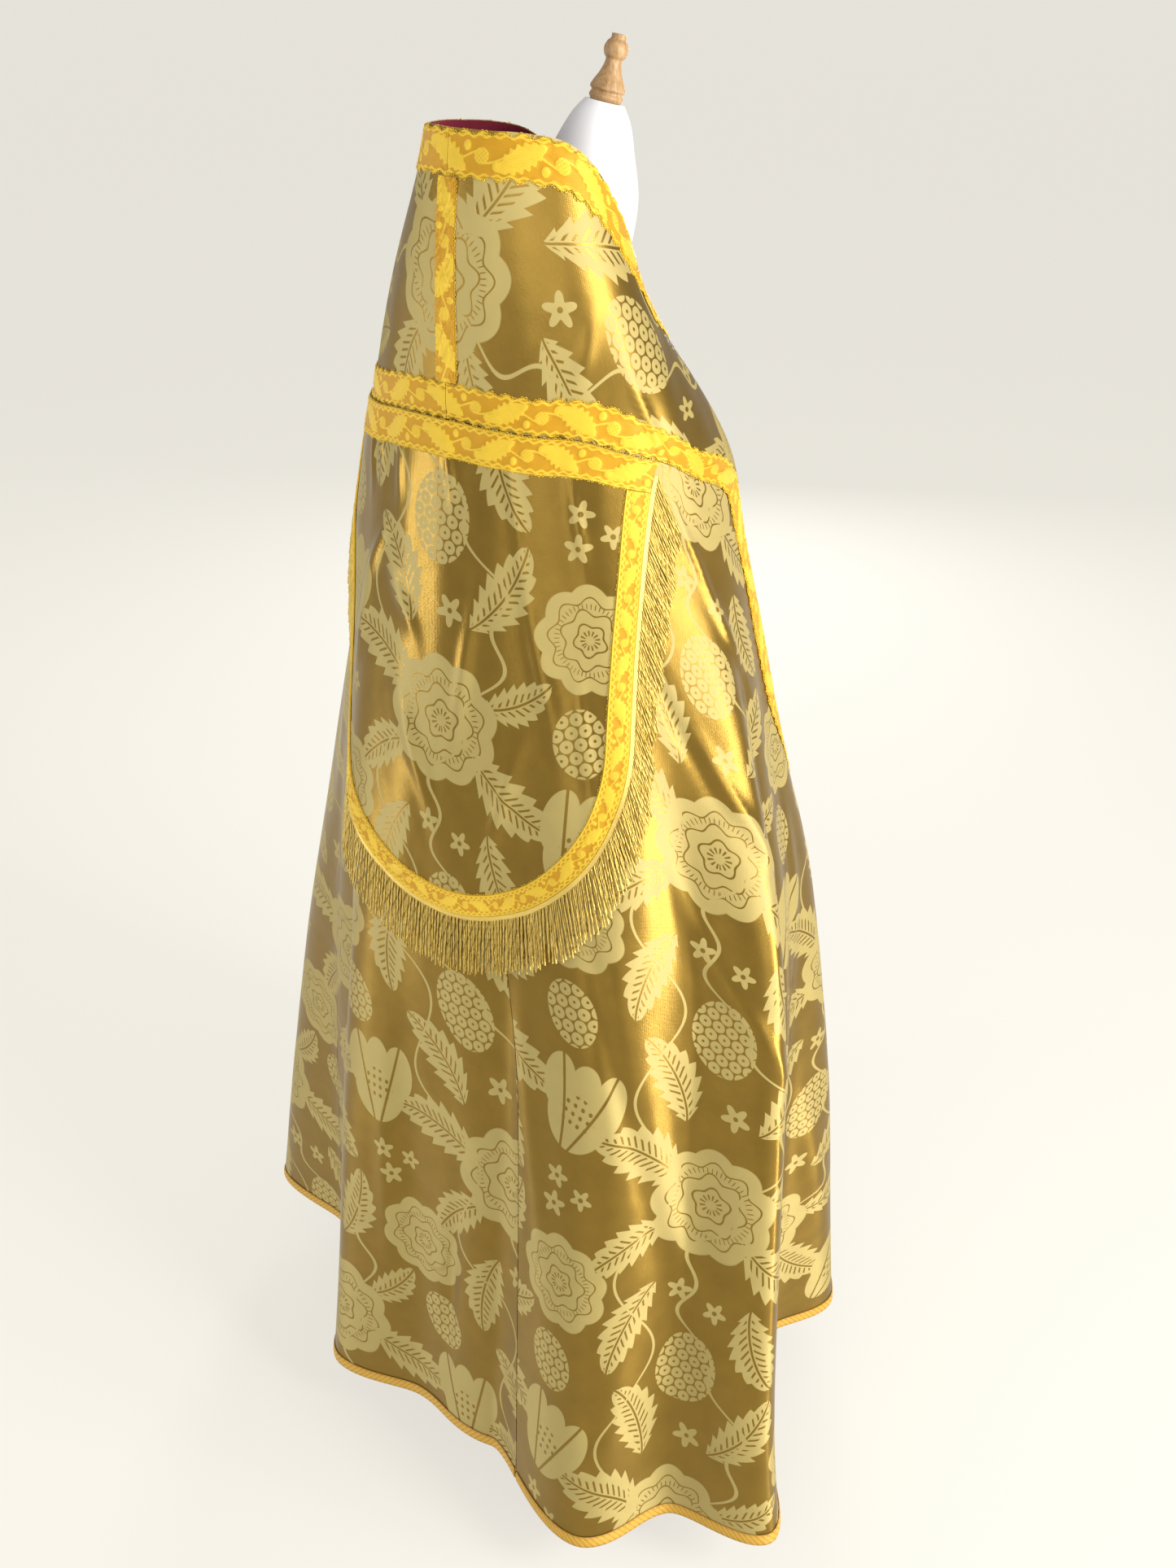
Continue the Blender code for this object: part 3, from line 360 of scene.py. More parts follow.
class WornSurface:
    """The surface on which all the cloth lies, with its folds and creases."""

    def __init__(self) -> None:
        """Set up the curves of the tables."""
        self.neck_radius = Curve(NECK_EDGE, "angle", "radius")
        self.neck_height = Curve(NECK_EDGE, "angle", "height")
        self.right = Curve(SECTIONS, "drop", "right")
        self.left = Curve(SECTIONS, "drop", "left")
        self.back = Curve(SECTIONS, "drop", "back")
        self.front = Curve(SECTIONS, "drop", "front")
        self.back_seam = Curve(BACK_SEAM, "drop", "angle")
        self.hood_middle = Curve(HOOD_MIDDLE, "drop", "angle")
        self.front_middle = Curve(FRONT_MIDDLE, "drop", "angle")
        self.edge_drop = Curve(ORPHREY_EDGE, "angle", "drop")
        self.fold_angles = np.array([fold.angle for fold in FOLDS], float)
        self.fold_begins = np.array([fold.begins for fold in FOLDS])
        self.fold_leans = np.array([fold.lean for fold in FOLDS], float)
        self.fold_sizes = np.array([fold.radius - self.oval(fold.angle, 1.0) for fold in FOLDS])
        self.girths: np.ndarray | None = None

    def on_neck_table(self, angle: np.ndarray) -> np.ndarray:
        """The same angle within the neck table's turn."""
        first = NECK_EDGE[0].angle
        return (angle - first) % 360.0 + first

    def oval(self, angle: np.ndarray, drop: np.ndarray) -> np.ndarray:
        """Radius of the smooth worn oval, before its folds."""
        across = np.sin(np.radians(angle))
        along = np.cos(np.radians(angle))
        side = np.where(across > 0.0, self.right(drop), self.left(drop))
        depth = np.where(along > 0.0, self.back(drop), self.front(drop))
        return 1.0 / np.hypot(across / side, along / depth)

    def fold_reach(self, index: np.ndarray, drop: np.ndarray) -> np.ndarray:
        """How far down its own length a fold is at a drop, 0 to 1."""
        begins = self.fold_begins[index]
        return np.clip((drop - begins) / (1.0 - begins), 0.0, 1.0)

    def fold_place(self, index: np.ndarray, drop: np.ndarray) -> np.ndarray:
        """Angle of a fold at a drop."""
        reach = self.fold_reach(index, drop)
        return self.fold_angles[index] + self.fold_leans[index] * (1.0 - smooth(reach))

    def fold_offset(self, angle: np.ndarray, drop: np.ndarray) -> np.ndarray:
        """How far the folds move the cloth out or in at a place."""
        offset = np.zeros(np.shape(angle))
        count = len(FOLDS)
        for i in range(count):
            k = (i + 1) % count
            place, beyond = self.fold_place(i, drop), self.fold_place(k, drop)
            size = self.fold_sizes[i] * self.fold_reach(i, drop) ** FOLD_GROWTH
            after = self.fold_sizes[k] * self.fold_reach(k, drop) ** FOLD_GROWTH
            span = (beyond - place) % 360.0
            past = (angle - place) % 360.0
            offset = np.where(past < span, mix(size, after, smooth(past / span)), offset)
        return offset

    def fold_line(self, hem_angle: np.ndarray, drop: np.ndarray) -> np.ndarray:
        """Angle at a drop of the line that runs with the folds to an angle at the hem."""
        hem_angle, drop = np.broadcast_arrays(hem_angle, drop)
        turns = np.floor((hem_angle - self.fold_angles[0]) / 360.0)
        within = hem_angle - 360.0 * turns
        index = np.searchsorted(self.fold_angles, within, side="right") - 1
        index = np.clip(index, 0, len(FOLDS) - 1)
        after = (index + 1) % len(FOLDS)
        round_once = 360.0 * (after == 0)
        foot, next_foot = self.fold_angles[index], self.fold_angles[after] + round_once
        share = (within - foot) / (next_foot - foot)
        place = self.fold_place(index, drop)
        beyond = self.fold_place(after, drop) + round_once
        return mix(place, beyond, share) + 360.0 * turns

    def crease_offset(self, angle: np.ndarray, drop: np.ndarray, creased: bool) -> np.ndarray:
        """How far the listed creases and the cloth's slight unevenness move it."""
        total = np.zeros(np.shape(angle))
        for crease in CREASES if creased else ():
            turn = (angle - crease.angle + 180.0) % 360.0 - 180.0
            across = np.radians(turn) * CREASE_RADIUS
            along = (drop - crease.drop) * FALL_LENGTH
            total += crease_height(across, along, crease)
        wave = np.radians(angle)
        slight = (np.sin(11.0 * wave + 9.0 * drop) * np.sin(17.0 * drop + 1.3)
                  + 0.6 * np.sin(23.0 * wave - 14.0 * drop + 0.7))
        return total + 0.0007 * slight * smooth((drop - 0.02) / 0.1)

    def points(self, angle: np.ndarray, drop: np.ndarray, creased: bool = True) -> np.ndarray:
        """Points of the worn cloth's middle surface."""
        angle, drop = np.broadcast_arrays(np.asarray(angle, float), np.asarray(drop, float))
        at_neck = self.on_neck_table(angle)
        body = self.oval(angle, drop) + self.fold_offset(angle, drop)
        leaving = 1.0 - (1.0 - np.minimum(drop / NECK_BLEND, 1.0)) ** 2
        radius = mix(self.neck_radius(at_neck) + NECK_FLARE * drop, body, leaving)
        radius = radius + self.crease_offset(angle, drop, creased)
        height = mix(self.neck_height(at_neck), HEM_HEIGHT, drop)
        turn = np.radians(angle)
        return np.stack([-radius * np.sin(turn), radius * np.cos(turn), height], axis=-1)

    def outward(self, angle: np.ndarray, drop: np.ndarray, creased: bool = True) -> np.ndarray:
        """Unit normals of the cloth, pointing away from the wearer."""
        turn, step = 0.3, 0.003
        around = (self.points(angle + turn, drop, creased)
                  - self.points(angle - turn, drop, creased))
        down = (self.points(angle, np.minimum(drop + step, 1.0), creased)
                - self.points(angle, np.maximum(drop - step, 0.0), creased))
        return unit(np.cross(down, around))

    def girth(self, angle: np.ndarray, drop: np.ndarray) -> np.ndarray:
        """Length round the level worn cloth from the centre back seam to a place."""
        if self.girths is None:
            angles = np.linspace(-200.0, 200.0, 801)
            drops = np.linspace(0.0, 1.0, 101)
            spots = self.points(angles[None, :], drops[:, None])
            steps = np.linalg.norm(np.diff(spots, axis=1), axis=-1)
            self.girths = np.concatenate([np.zeros((len(drops), 1)), np.cumsum(steps, axis=1)], axis=1)

        def read(wanted: np.ndarray) -> np.ndarray:
            """The table's lengths at angles, between its rows and columns."""
            row = np.clip(drop * 100.0, 0.0, 99.999)
            column = np.clip((wanted + 200.0) * 2.0, 0.0, 799.999)
            i, j = row.astype(int), column.astype(int)
            above = mix(self.girths[i, j], self.girths[i, j + 1], column - j)
            below = mix(self.girths[i + 1, j], self.girths[i + 1, j + 1], column - j)
            return mix(above, below, row - i)

        return read(angle) - read(self.back_seam(drop))

    def walk_round(self, start: np.ndarray, drop: np.ndarray, length: np.ndarray) -> np.ndarray:
        """Angles reached after lengths round the cloth at drops."""
        angle = start + 0.0 * length
        for _ in range(4):
            middle = (start + angle) / 2.0
            radius = self.oval(middle, drop) + self.fold_offset(middle, drop)
            at_neck = self.on_neck_table(middle)
            leaving = 1.0 - (1.0 - np.minimum(drop / NECK_BLEND, 1.0)) ** 2
            radius = mix(self.neck_radius(at_neck) + NECK_FLARE * drop, radius, leaving)
            angle = start + np.degrees(length / radius)
        return angle


def crease_height(across: np.ndarray, along: np.ndarray, crease) -> np.ndarray:
    """Height of one soft crease at places measured from its middle.

    Args:
        across: metres across the cloth from the crease's middle.
        along: metres down the cloth from the crease's middle.
        crease: the row of a crease table with its sizes.

    Returns:
        The height, highest along the crease's own line and fading to its ends.
    """
    slant = math.radians(crease.slant)
    beside = across * math.cos(slant) + along * math.sin(slant)
    down = along * math.cos(slant) - across * math.sin(slant)
    bow = 0.18 * crease.wide * np.sin(down / crease.long * 2.1)
    shape = np.exp(-(((beside - bow) / crease.wide) ** 2)) * np.exp(-((down / crease.long) ** 2))
    return crease.high * shape


WORN = WornSurface()


@dataclass(frozen=True)
class Side:
    """One half of the cope: where its orphrey turns down the front, and its stations."""

    name: str
    sign: int
    corner: float
    hem_corner: float
    hem_end: float
    before: int
    after: int
    grain: float

    def stations(self) -> tuple[np.ndarray, np.ndarray]:
        """Shares of the orphrey's edge and the hem's angles of the body's lines."""
        past_seam = np.linspace(0.0, 1.0, self.before)
        hem = mix(WORN.back_seam(1.0), self.hem_corner, past_seam)
        top = WORN.fold_line(hem, TOP_DROP)
        top = top - (top[0] - WORN.back_seam(TOP_DROP)) * (1.0 - past_seam) ** 2
        shares = TURN * (top - top[0]) / (top[-1] - top[0])
        after = np.linspace(TURN, LAST_BODY_SHARE, self.after + 1)[1:]
        past_turn = (after - TURN) / (LAST_BODY_SHARE - TURN)
        shares = np.concatenate([shares, after])
        return shares, np.concatenate([hem, mix(self.hem_corner, self.hem_end, past_turn)])

    def front_edge(self, drop: np.ndarray) -> np.ndarray:
        """Angles of the front edge at drops."""
        middle = WORN.front_middle(drop)
        radius = mix(WORN.neck_radius(WORN.on_neck_table(middle)), WORN.oval(180.0, drop),
                     smooth(drop / NECK_BLEND))
        half_gap = np.degrees(FRONT_GAP / radius)
        return middle - half_gap if self.sign > 0 else middle + half_gap - 360.0

    def straight_edge(self, share: np.ndarray) -> tuple[np.ndarray, np.ndarray]:
        """The cope's straight edge from the back seam, round the neck, to the hem."""
        first = self.front_edge(np.zeros(1))[0]
        along_neck = mix(WORN.back_seam(0.0), first, share / STRAIGHT_TURN)
        below = np.clip((share - STRAIGHT_TURN) / (1.0 - STRAIGHT_TURN), 0.0, 1.0)
        below = below ** STRAIGHT_SPREAD
        return np.where(share < STRAIGHT_TURN, along_neck, self.front_edge(below)), below

    def orphrey_edge(self, share: np.ndarray) -> tuple[np.ndarray, np.ndarray]:
        """The orphrey's outer edge from the back seam to the hem."""
        across_back = mix(WORN.back_seam(TOP_DROP), self.corner, share / TURN)
        below = np.clip((share - TURN) / (1.0 - TURN), 0.0, 1.0)
        drop = mix(WORN.edge_drop(self.corner), 1.0, below ** EDGE_SPREAD)
        angles = np.linspace(self.corner, self.hem_end, 400)
        down_front = np.interp(drop, WORN.edge_drop(angles), angles)
        angle = np.where(share < TURN, across_back, down_front)
        return angle, np.where(share < TURN, WORN.edge_drop(angle), drop)

    def seam_clear(self, share: np.ndarray, radius: float) -> np.ndarray:
        """Degrees by which a piece keeps clear of the centre back seam."""
        fading = np.clip(1.0 - share / SEAM_CLEAR_REACH, 0.0, 1.0)
        return self.sign * math.degrees(SEAM / radius) * fading


RIGHT = Side("right", 1, 90.0, 76.0, 136.0, 150, 70, -0.04)
LEFT = Side("left", -1, -99.0, -99.0, -138.0, 170, 62, 0.26)


@dataclass
class Sheet:
    """A grid of points on the middle of a panel, its normals and its cloth places."""

    points: np.ndarray
    normals: np.ndarray
    cloth: np.ndarray

    @classmethod
    def worn(cls, angle: np.ndarray, drop: np.ndarray, lift: np.ndarray | float,
             cloth: np.ndarray, creased: bool = True) -> Sheet:
        """The grid at these places of the worn surface, moved out by a lift."""
        normals = WORN.outward(angle, drop, creased)
        lifts = np.broadcast_to(lift, np.shape(angle))[..., None]
        return cls(WORN.points(angle, drop, creased) + normals * lifts, normals, cloth)

    def moved(self, lift: np.ndarray | float) -> np.ndarray:
        """The points moved out along the normals."""
        return self.points + self.normals * np.broadcast_to(lift, self.points.shape[:2])[..., None]


def joined(sheets: Sequence[Sheet]) -> Sheet:
    """One grid from grids whose rows follow on from each other."""
    return Sheet(*[np.concatenate([getattr(sheet, part) for sheet in sheets])
                   for part in ("points", "normals", "cloth")])


def lengths_along(points: np.ndarray) -> np.ndarray:
    """Length from the first point to each point of a line."""
    steps = np.linalg.norm(np.diff(points, axis=0), axis=-1)
    return np.concatenate([[0.0], np.cumsum(steps)])


class Field:
    """A number that varies over a surface, as a socket in a material's node tree."""

    def __init__(self, tree: bpy.types.NodeTree, socket: bpy.types.NodeSocket) -> None:
        """Keep the tree and the socket."""
        self.tree = tree
        self.socket = socket

    def sum_of(self, operation: str, *others: Field | float) -> Field:
        """The result of one Math node on this number and others."""
        node = self.tree.nodes.new("ShaderNodeMath")
        node.operation = operation
        for place, value in enumerate((self, *others)):
            feed(self.tree, node.inputs[place], value)
        return Field(self.tree, node.outputs[0])

    def __add__(self, other: Field | float) -> Field:
        """Sum."""
        return self.sum_of("ADD", other)

    def __sub__(self, other: Field | float) -> Field:
        """Difference."""
        return self.sum_of("SUBTRACT", other)

    def __mul__(self, other: Field | float) -> Field:
        """Product."""
        return self.sum_of("MULTIPLY", other)

    def __truediv__(self, other: Field | float) -> Field:
        """Quotient."""
        return self.sum_of("DIVIDE", other)

    def __rsub__(self, other: float) -> Field:
        """Difference from a plain number."""
        return (self * -1.0) + other

    __radd__ = __add__
    __rmul__ = __mul__


def feed(tree: bpy.types.NodeTree, socket: bpy.types.NodeSocket, value: Field | float) -> None:
    """Link a field to a socket, or set the socket's own number."""
    if isinstance(value, Field):
        tree.links.new(value.socket, socket)
    else:
        socket.default_value = value


def applied(operation: str, plain: Callable) -> Callable:
    """A function that works on a field through a Math node and on numpy arrays."""

    def work(first, *others):
        """The result for a field or for arrays."""
        for value in (first, *others):
            if isinstance(value, Field):
                base = first if isinstance(first, Field) else value * 0.0 + first
                return base.sum_of(operation, *others)
        return plain(first, *others)

    return work


sine = applied("SINE", np.sin)
cosine = applied("COSINE", np.cos)
size_of = applied("ABSOLUTE", np.abs)
least = applied("MINIMUM", np.minimum)
most = applied("MAXIMUM", np.maximum)
whole_part = applied("FLOOR", np.floor)
square_root = applied("SQRT", np.sqrt)
turn_of = applied("ARCTAN2", np.arctan2)
raised = applied("POWER", np.power)


def part_of(value):
    """What is left of a value past its whole part."""
    return value - whole_part(value)


def within(value, limit, edge: float = 0.0004):
    """1 where a value is below its limit, 0 where it is above, with a narrow edge."""
    return least(most((limit - value) / edge + 0.5, 0.0), 1.0)


def reach_of(x, y):
    """Distance of a place from the origin."""
    return square_root(x * x + y * y)


Motif = namedtuple("Motif", "kind x y turn size")
REPEAT_WIDE = 0.340
REPEAT_HIGH = 0.420
MOTIFS = (
    Motif("rose", 0.000, 0.000, 0, 0.077),
    Motif("rose", 0.170, 0.108, 40, 0.061),
    Motif("tulip", 0.170, -0.104, 16, 0.058),
    Motif("leaf", 0.094, 0.044, 64, 0.044),
    Motif("leaf", 0.094, -0.060, 122, 0.062),
    Motif("leaf", -0.096, 0.050, -62, 0.064),
    Motif("leaf", -0.092, -0.056, -118, 0.052),
    Motif("leaf", 0.070, 0.150, 34, 0.056),
    Motif("leaf", 0.082, -0.160, 158, 0.054),
    Motif("leaf", -0.068, 0.146, -26, 0.058),
    Motif("leaf", -0.078, -0.152, -152, 0.056),
    Motif("berries", 0.000, 0.206, 8, 0.036),
    Motif("berries", 0.166, 0.004, -14, 0.028),
    Motif("floret", 0.152, 0.198, 0, 0.015),
    Motif("floret", 0.184, 0.216, 30, 0.013),
    Motif("floret", 0.152, 0.232, 12, 0.014),
    Motif("floret", 0.012, 0.116, 40, 0.017),
    Motif("floret", -0.022, -0.114, 5, 0.015),
    Motif("floret", 0.022, -0.130, 25, 0.014),
)


def rose(x, y, size: float):
    """An open rose: three rings of scalloped petals round a dotted heart."""
    far = reach_of(x, y * 1.08) / size
    turn = turn_of(x, y)
    outline = 0.86 + 0.11 * size_of(cosine(turn * 4.5 + 0.4))
    shape = within(far, outline, 0.02)
    outer = within(size_of(far - (0.69 + 0.060 * cosine(turn * 9.0 + 0.5))), 0.013, 0.010)
    inner = within(size_of(far - (0.49 + 0.055 * cosine(turn * 7.0 + 1.0))), 0.014, 0.010)
    heart = within(size_of(far - (0.27 + 0.035 * cosine(turn * 5.0))), 0.016, 0.012)
    hatch = within(part_of(turn * 8.0), 0.22, 0.10) * within(size_of(far - 0.59), 0.045, 0.03)
    seeds = within(part_of(turn * 2.0), 0.40, 0.10) * within(size_of(far - 0.13), 0.045, 0.02)
    return shape * (1.0 - most(most(outer, inner), most(heart, most(hatch, seeds))))


def tulip(x, y, size: float):
    """A half-open flower of three long petals."""
    side = size_of(x)
    cup = within(reach_of(x, (y + size * 0.1) * 0.80), size * 0.62, 0.0006)
    wing = within(reach_of(side - size * 0.50, (y - size * 0.35) * 0.55), size * 0.33, 0.0006)
    centre = within(reach_of(x, (y - size * 0.45) * 0.55), size * 0.30, 0.0006)
    seam = within(size_of(side - size * 0.30 - y * 0.25), 0.0016, 0.0006)
    dots = within(reach_of(part_of(x / 0.009) - 0.5, part_of(y / 0.011) - 0.5), 0.24, 0.08)
    marks = most(seam, dots * within(reach_of(x, y + size * 0.05), size * 0.36, 0.0006))
    return most(most(cup, wing), centre) * (1.0 - marks)


def leaf(x, y, size: float):
    """A serrated leaf along y with a midrib and ladder veins."""
    share = least(most(y / (2.0 * size) + 0.5, 0.0), 1.0)
    swell = raised(most(sine(share * math.pi), 0.0), 0.7)
    bend = size * 0.20 * swell
    beside = x - bend
    far = size_of(beside)
    tooth = part_of(share * 7.0 + 0.2)
    wide = size * 0.46 * swell * (0.78 + 0.34 * tooth)
    shape = within(far, wide, 0.0006)
    rib = within(far, 0.0013, 0.0005)
    ladder = within(part_of((y - far * 0.9) / 0.0092), 0.34, 0.10)
    veins = ladder * within(far, wide * 0.52, 0.001)
    return shape * (1.0 - most(rib, veins * within(0.0028, far, 0.0005)))


def berries(x, y, size: float):
    """A cluster of round berries within an oval."""
    pitch = 0.0150
    rows = pitch * 1.72

    def dots(shift_x: float, shift_y: float):
        """Distance to the nearest point of one square lattice."""
        across = (part_of((x + shift_x) / pitch) - 0.5) * pitch
        down = (part_of((y + shift_y) / rows) - 0.5) * rows
        return reach_of(across, down)

    near = least(dots(0.0, 0.0), dots(pitch / 2, rows / 2))
    inside = within(reach_of(x, y * 0.78), size, 0.0006)
    return within(near, 0.0068, 0.0006) * inside * within(0.0016, near, 0.0005)


def floret(x, y, size: float):
    """A small flower of five petals."""
    far = reach_of(x, y)
    edge = size * (0.74 + 0.26 * cosine(turn_of(x, y) * 5.0))
    return within(far, edge, 0.0006) * within(0.0028, far, 0.0005)


def band(distance, half: float):
    """A stem or tendril about a line."""
    return within(size_of(distance), half, 0.0005)


DRAWN = {"rose": rose, "tulip": tulip, "leaf": leaf, "berries": berries, "floret": floret}


def at_motif(u, v, motif: Motif) -> tuple:
    """Places measured from the nearest copy of a motif, turned with it."""
    across = (u - motif.x) / REPEAT_WIDE
    column = whole_part(across + 0.5)
    x = (across - column) * REPEAT_WIDE
    up = (v - motif.y) / REPEAT_HIGH - column * 0.5
    y = (up - whole_part(up + 0.5)) * REPEAT_HIGH
    turn = math.radians(motif.turn)
    return (x * math.cos(turn) - y * math.sin(turn), x * math.sin(turn) + y * math.cos(turn))


def damask_figure(u, v):
    """The damask's figure, 1 on its matte flowers and 0 on the satin ground."""
    x, y = at_motif(u, v, Motif("stem", 0.03, 0.0, 0, 0.0))
    rate = 2.0 * math.pi / REPEAT_HIGH
    line = x - 0.046 * sine(y * rate) + 0.012 * sine(y * (5.0 * rate))
    figure = band(line, 0.0023)
    branch = x + 0.105 - 0.032 * sine(y * (2.0 * rate) + 1.0)
    figure = most(figure, band(branch, 0.0017))
    for motif in MOTIFS:
        x, y = at_motif(u, v, motif)
        figure = most(figure, DRAWN[motif.kind](x, y, motif.size))
    return figure


def galloon_relief(s, t, width: float, scale: float):
    """The galloon's raised design: slanting leaves and berry clusters between cords.

    Args:
        s: metres along the galloon.
        t: metres across it from its middle.
        width: its width in metres.
        scale: size of the design, 1 for the widest galloon.

    Returns:
        0 on the ground to 1 on the highest yarns.
    """
    period = 0.074 * scale
    slot = whole_part(s / period + 0.5)
    x = s - slot * period
    side = 1.0 - 2.0 * (slot - whole_part(slot / 2.0) * 2.0)
    y = t * side
    slant = math.radians(31.0)
    along = x * math.cos(slant) + y * math.sin(slant)
    beside = y * math.cos(slant) - x * math.sin(slant)
    share = least(most(along / (0.050 * scale) + 0.5, 0.0), 1.0)
    half = 0.0125 * scale * raised(most(sine(share * math.pi), 0.0), 0.7)
    blade = within(size_of(beside), half * (0.86 + 0.14 * sine(along * 900.0 / scale)), 0.0009)
    groove = 0.62 + 0.38 * size_of(sine((along + size_of(beside) * 1.3) * (820.0 / scale)))
    rib = within(size_of(beside), 0.0010, 0.0006)
    inner = blade * most(groove, rib)
    fruit_x = size_of(x) - period / 2
    lobe = 0.0042 * scale
    ring = reach_of(fruit_x, y)
    dots = 0.5 + 0.5 * cosine(fruit_x * (2 * math.pi / lobe)) * cosine(y * (2 * math.pi / lobe))
    fruit = within(ring, 0.0072 * scale, 0.0010) * (0.35 + 0.65 * dots)
    vine = y - 0.0058 * scale * sine(x * (2.0 * math.pi / period) + 1.2)
    tendril = band(vine, 0.0010 * scale)
    bud = within(reach_of(size_of(x) - period * 0.30, y * 0.8 + 0.0066 * scale), 0.0036 * scale, 0.0008)
    tendril = most(tendril, bud)
    edge = width / 2 - size_of(t)
    wave = 0.0036 + 0.0011 * sine(s * (2.0 * math.pi / (0.0125 * scale)))
    cord = within(size_of(edge - wave), 0.0011, 0.0008)
    lip = within(edge, 0.0016, 0.0008) * (0.55 + 0.45 * size_of(sine(s * 900.0)))
    design = most(most(inner, fruit), tendril) * within(0.0056, edge, 0.0008)
    return most(design, most(cord, lip))


def braid_relief(s, t, width: float, scale: float):
    """Twisted cords of the hem braid."""
    # This height also sets the braid's colour, as painted shade darker towards the cords' edges and in the
    # grooves of the twist.
    dome = square_root(most(1.0 - (t * 2.0 / width) * (t * 2.0 / width), 0.0))
    twist = size_of(sine((s + t * 0.85) * (math.pi / (0.0068 * scale))))
    return dome * (0.45 + 0.55 * twist)


class Weave(Enum):
    """The kinds of finish that the cloth pieces take."""

    DAMASK = "damask"
    LINING = "lining"
    GALLOON = "galloon"
    BRAID = "braid"
    FRINGE = "fringe"
    JERSEY = "jersey"
    WOOD = "wood"
    STEEL = "steel"


@dataclass(frozen=True)
class Finish:
    """A surface: its two colours, gloss and its slot."""

    slot: Weave
    deep: tuple[float, float, float]
    light: tuple[float, float, float]
    rough: float
    metallic: float = 0.0
    sheen: float = 0.0
    bump: float = 0.3

    def start(self, name: str) -> tuple[bpy.types.Material, bpy.types.NodeTree]:
        """A material with its uniform values set on the shader itself."""
        material = bpy.data.materials.new(name)
        material.use_nodes = True
        tree = material.node_tree
        shader = tree.nodes["Principled BSDF"]
        shader.inputs["Roughness"].default_value = self.rough
        shader.inputs["Metallic"].default_value = self.metallic
        shader.inputs["Sheen Weight"].default_value = self.sheen
        shader.inputs["Sheen Roughness"].default_value = 0.4
        shader.inputs["Sheen Tint"].default_value = (*self.light, 1.0)
        return material, tree

    def noise(self, tree: bpy.types.NodeTree, scale: float, detail: float,
              vector: bpy.types.NodeSocket | None = None) -> Field:
        """A noise over Object coordinates or over another vector."""
        node = tree.nodes.new("ShaderNodeTexNoise")
        node.inputs["Scale"].default_value = scale
        node.inputs["Detail"].default_value = detail
        if vector is None:
            vector = tree.nodes.new("ShaderNodeTexCoord").outputs["Object"]
        tree.links.new(vector, node.inputs["Vector"])
        return Field(tree, node.outputs["Fac"])

    def blend(self, tree: bpy.types.NodeTree, share: Field, low: tuple | bpy.types.NodeSocket,
              high: tuple | bpy.types.NodeSocket) -> bpy.types.NodeSocket:
        """A colour between two by a field."""
        node = tree.nodes.new("ShaderNodeMix")
        node.data_type = "RGBA"
        tree.links.new(share.socket, node.inputs["Factor"])
        for socket, colour in ((node.inputs[6], low), (node.inputs[7], high)):
            if isinstance(colour, tuple):
                socket.default_value = (*colour, 1.0)
            else:
                tree.links.new(colour, socket)
        return node.outputs[2]

    def dress(self, tree: bpy.types.NodeTree, colour: bpy.types.NodeSocket, height: Field,
              strength: float, distance: float) -> None:
        """Give the shader its colour and its bump."""
        shader = tree.nodes["Principled BSDF"]
        tree.links.new(colour, shader.inputs["Base Color"])
        bump = tree.nodes.new("ShaderNodeBump")
        bump.inputs["Strength"].default_value = strength
        bump.inputs["Distance"].default_value = distance
        tree.links.new(height.socket, bump.inputs["Height"])
        tree.links.new(bump.outputs["Normal"], shader.inputs["Normal"])


def cloth_places(tree: bpy.types.NodeTree) -> tuple[Field, Field, bpy.types.NodeSocket]:
    """The two cloth places of the piece's own map, in metres, and their vector."""
    node = tree.nodes.new("ShaderNodeUVMap")
    node.uv_map = "cloth"
    parts = tree.nodes.new("ShaderNodeSeparateXYZ")
    tree.links.new(node.outputs["UV"], parts.inputs["Vector"])
    return Field(tree, parts.outputs["X"]), Field(tree, parts.outputs["Y"]), node.outputs["UV"]


class DamaskFinish(Finish):
    """Satin ground that flashes in the light, with a paler matte figure on it."""

    def build(self, name: str) -> bpy.types.Material:
        """The finished material."""
        material, tree = self.start(name)
        u, v, place = cloth_places(tree)
        figure = damask_figure(u, v)
        mottle = self.noise(tree, 34.0, 4.0, place)
        dark = tuple(0.72 * part for part in self.deep)
        ground = self.blend(tree, mottle, dark, self.deep)
        pale = tuple(0.84 * part for part in self.light)
        raised_part = self.blend(tree, mottle, pale, self.light)
        colour = self.blend(tree, figure, ground, raised_part)
        shader = tree.nodes["Principled BSDF"]
        rough = 0.30 + figure * 0.24 + mottle * 0.05
        tree.links.new(rough.socket, shader.inputs["Roughness"])
        metal = 0.80 - figure * 0.46
        tree.links.new(metal.socket, shader.inputs["Metallic"])
        shader.inputs["Anisotropic"].default_value = 0.75
        shader.inputs["Anisotropic Rotation"].default_value = 0.25
        tangent = tree.nodes.new("ShaderNodeTangent")
        tangent.direction_type = "UV_MAP"
        tangent.uv_map = "cloth"
        tree.links.new(tangent.outputs["Tangent"], shader.inputs["Tangent"])
        threads = sine(v * 5200.0) * 0.5 + sine(u * 3900.0) * 0.25
        slub = self.noise(tree, 260.0, 2.0, place)
        waves = self.noise(tree, 13.0, 2.0, place) * 9.0
        self.dress(tree, colour, threads * 0.22 + slub * 0.5 + waves, self.bump, 0.0004)
        return material


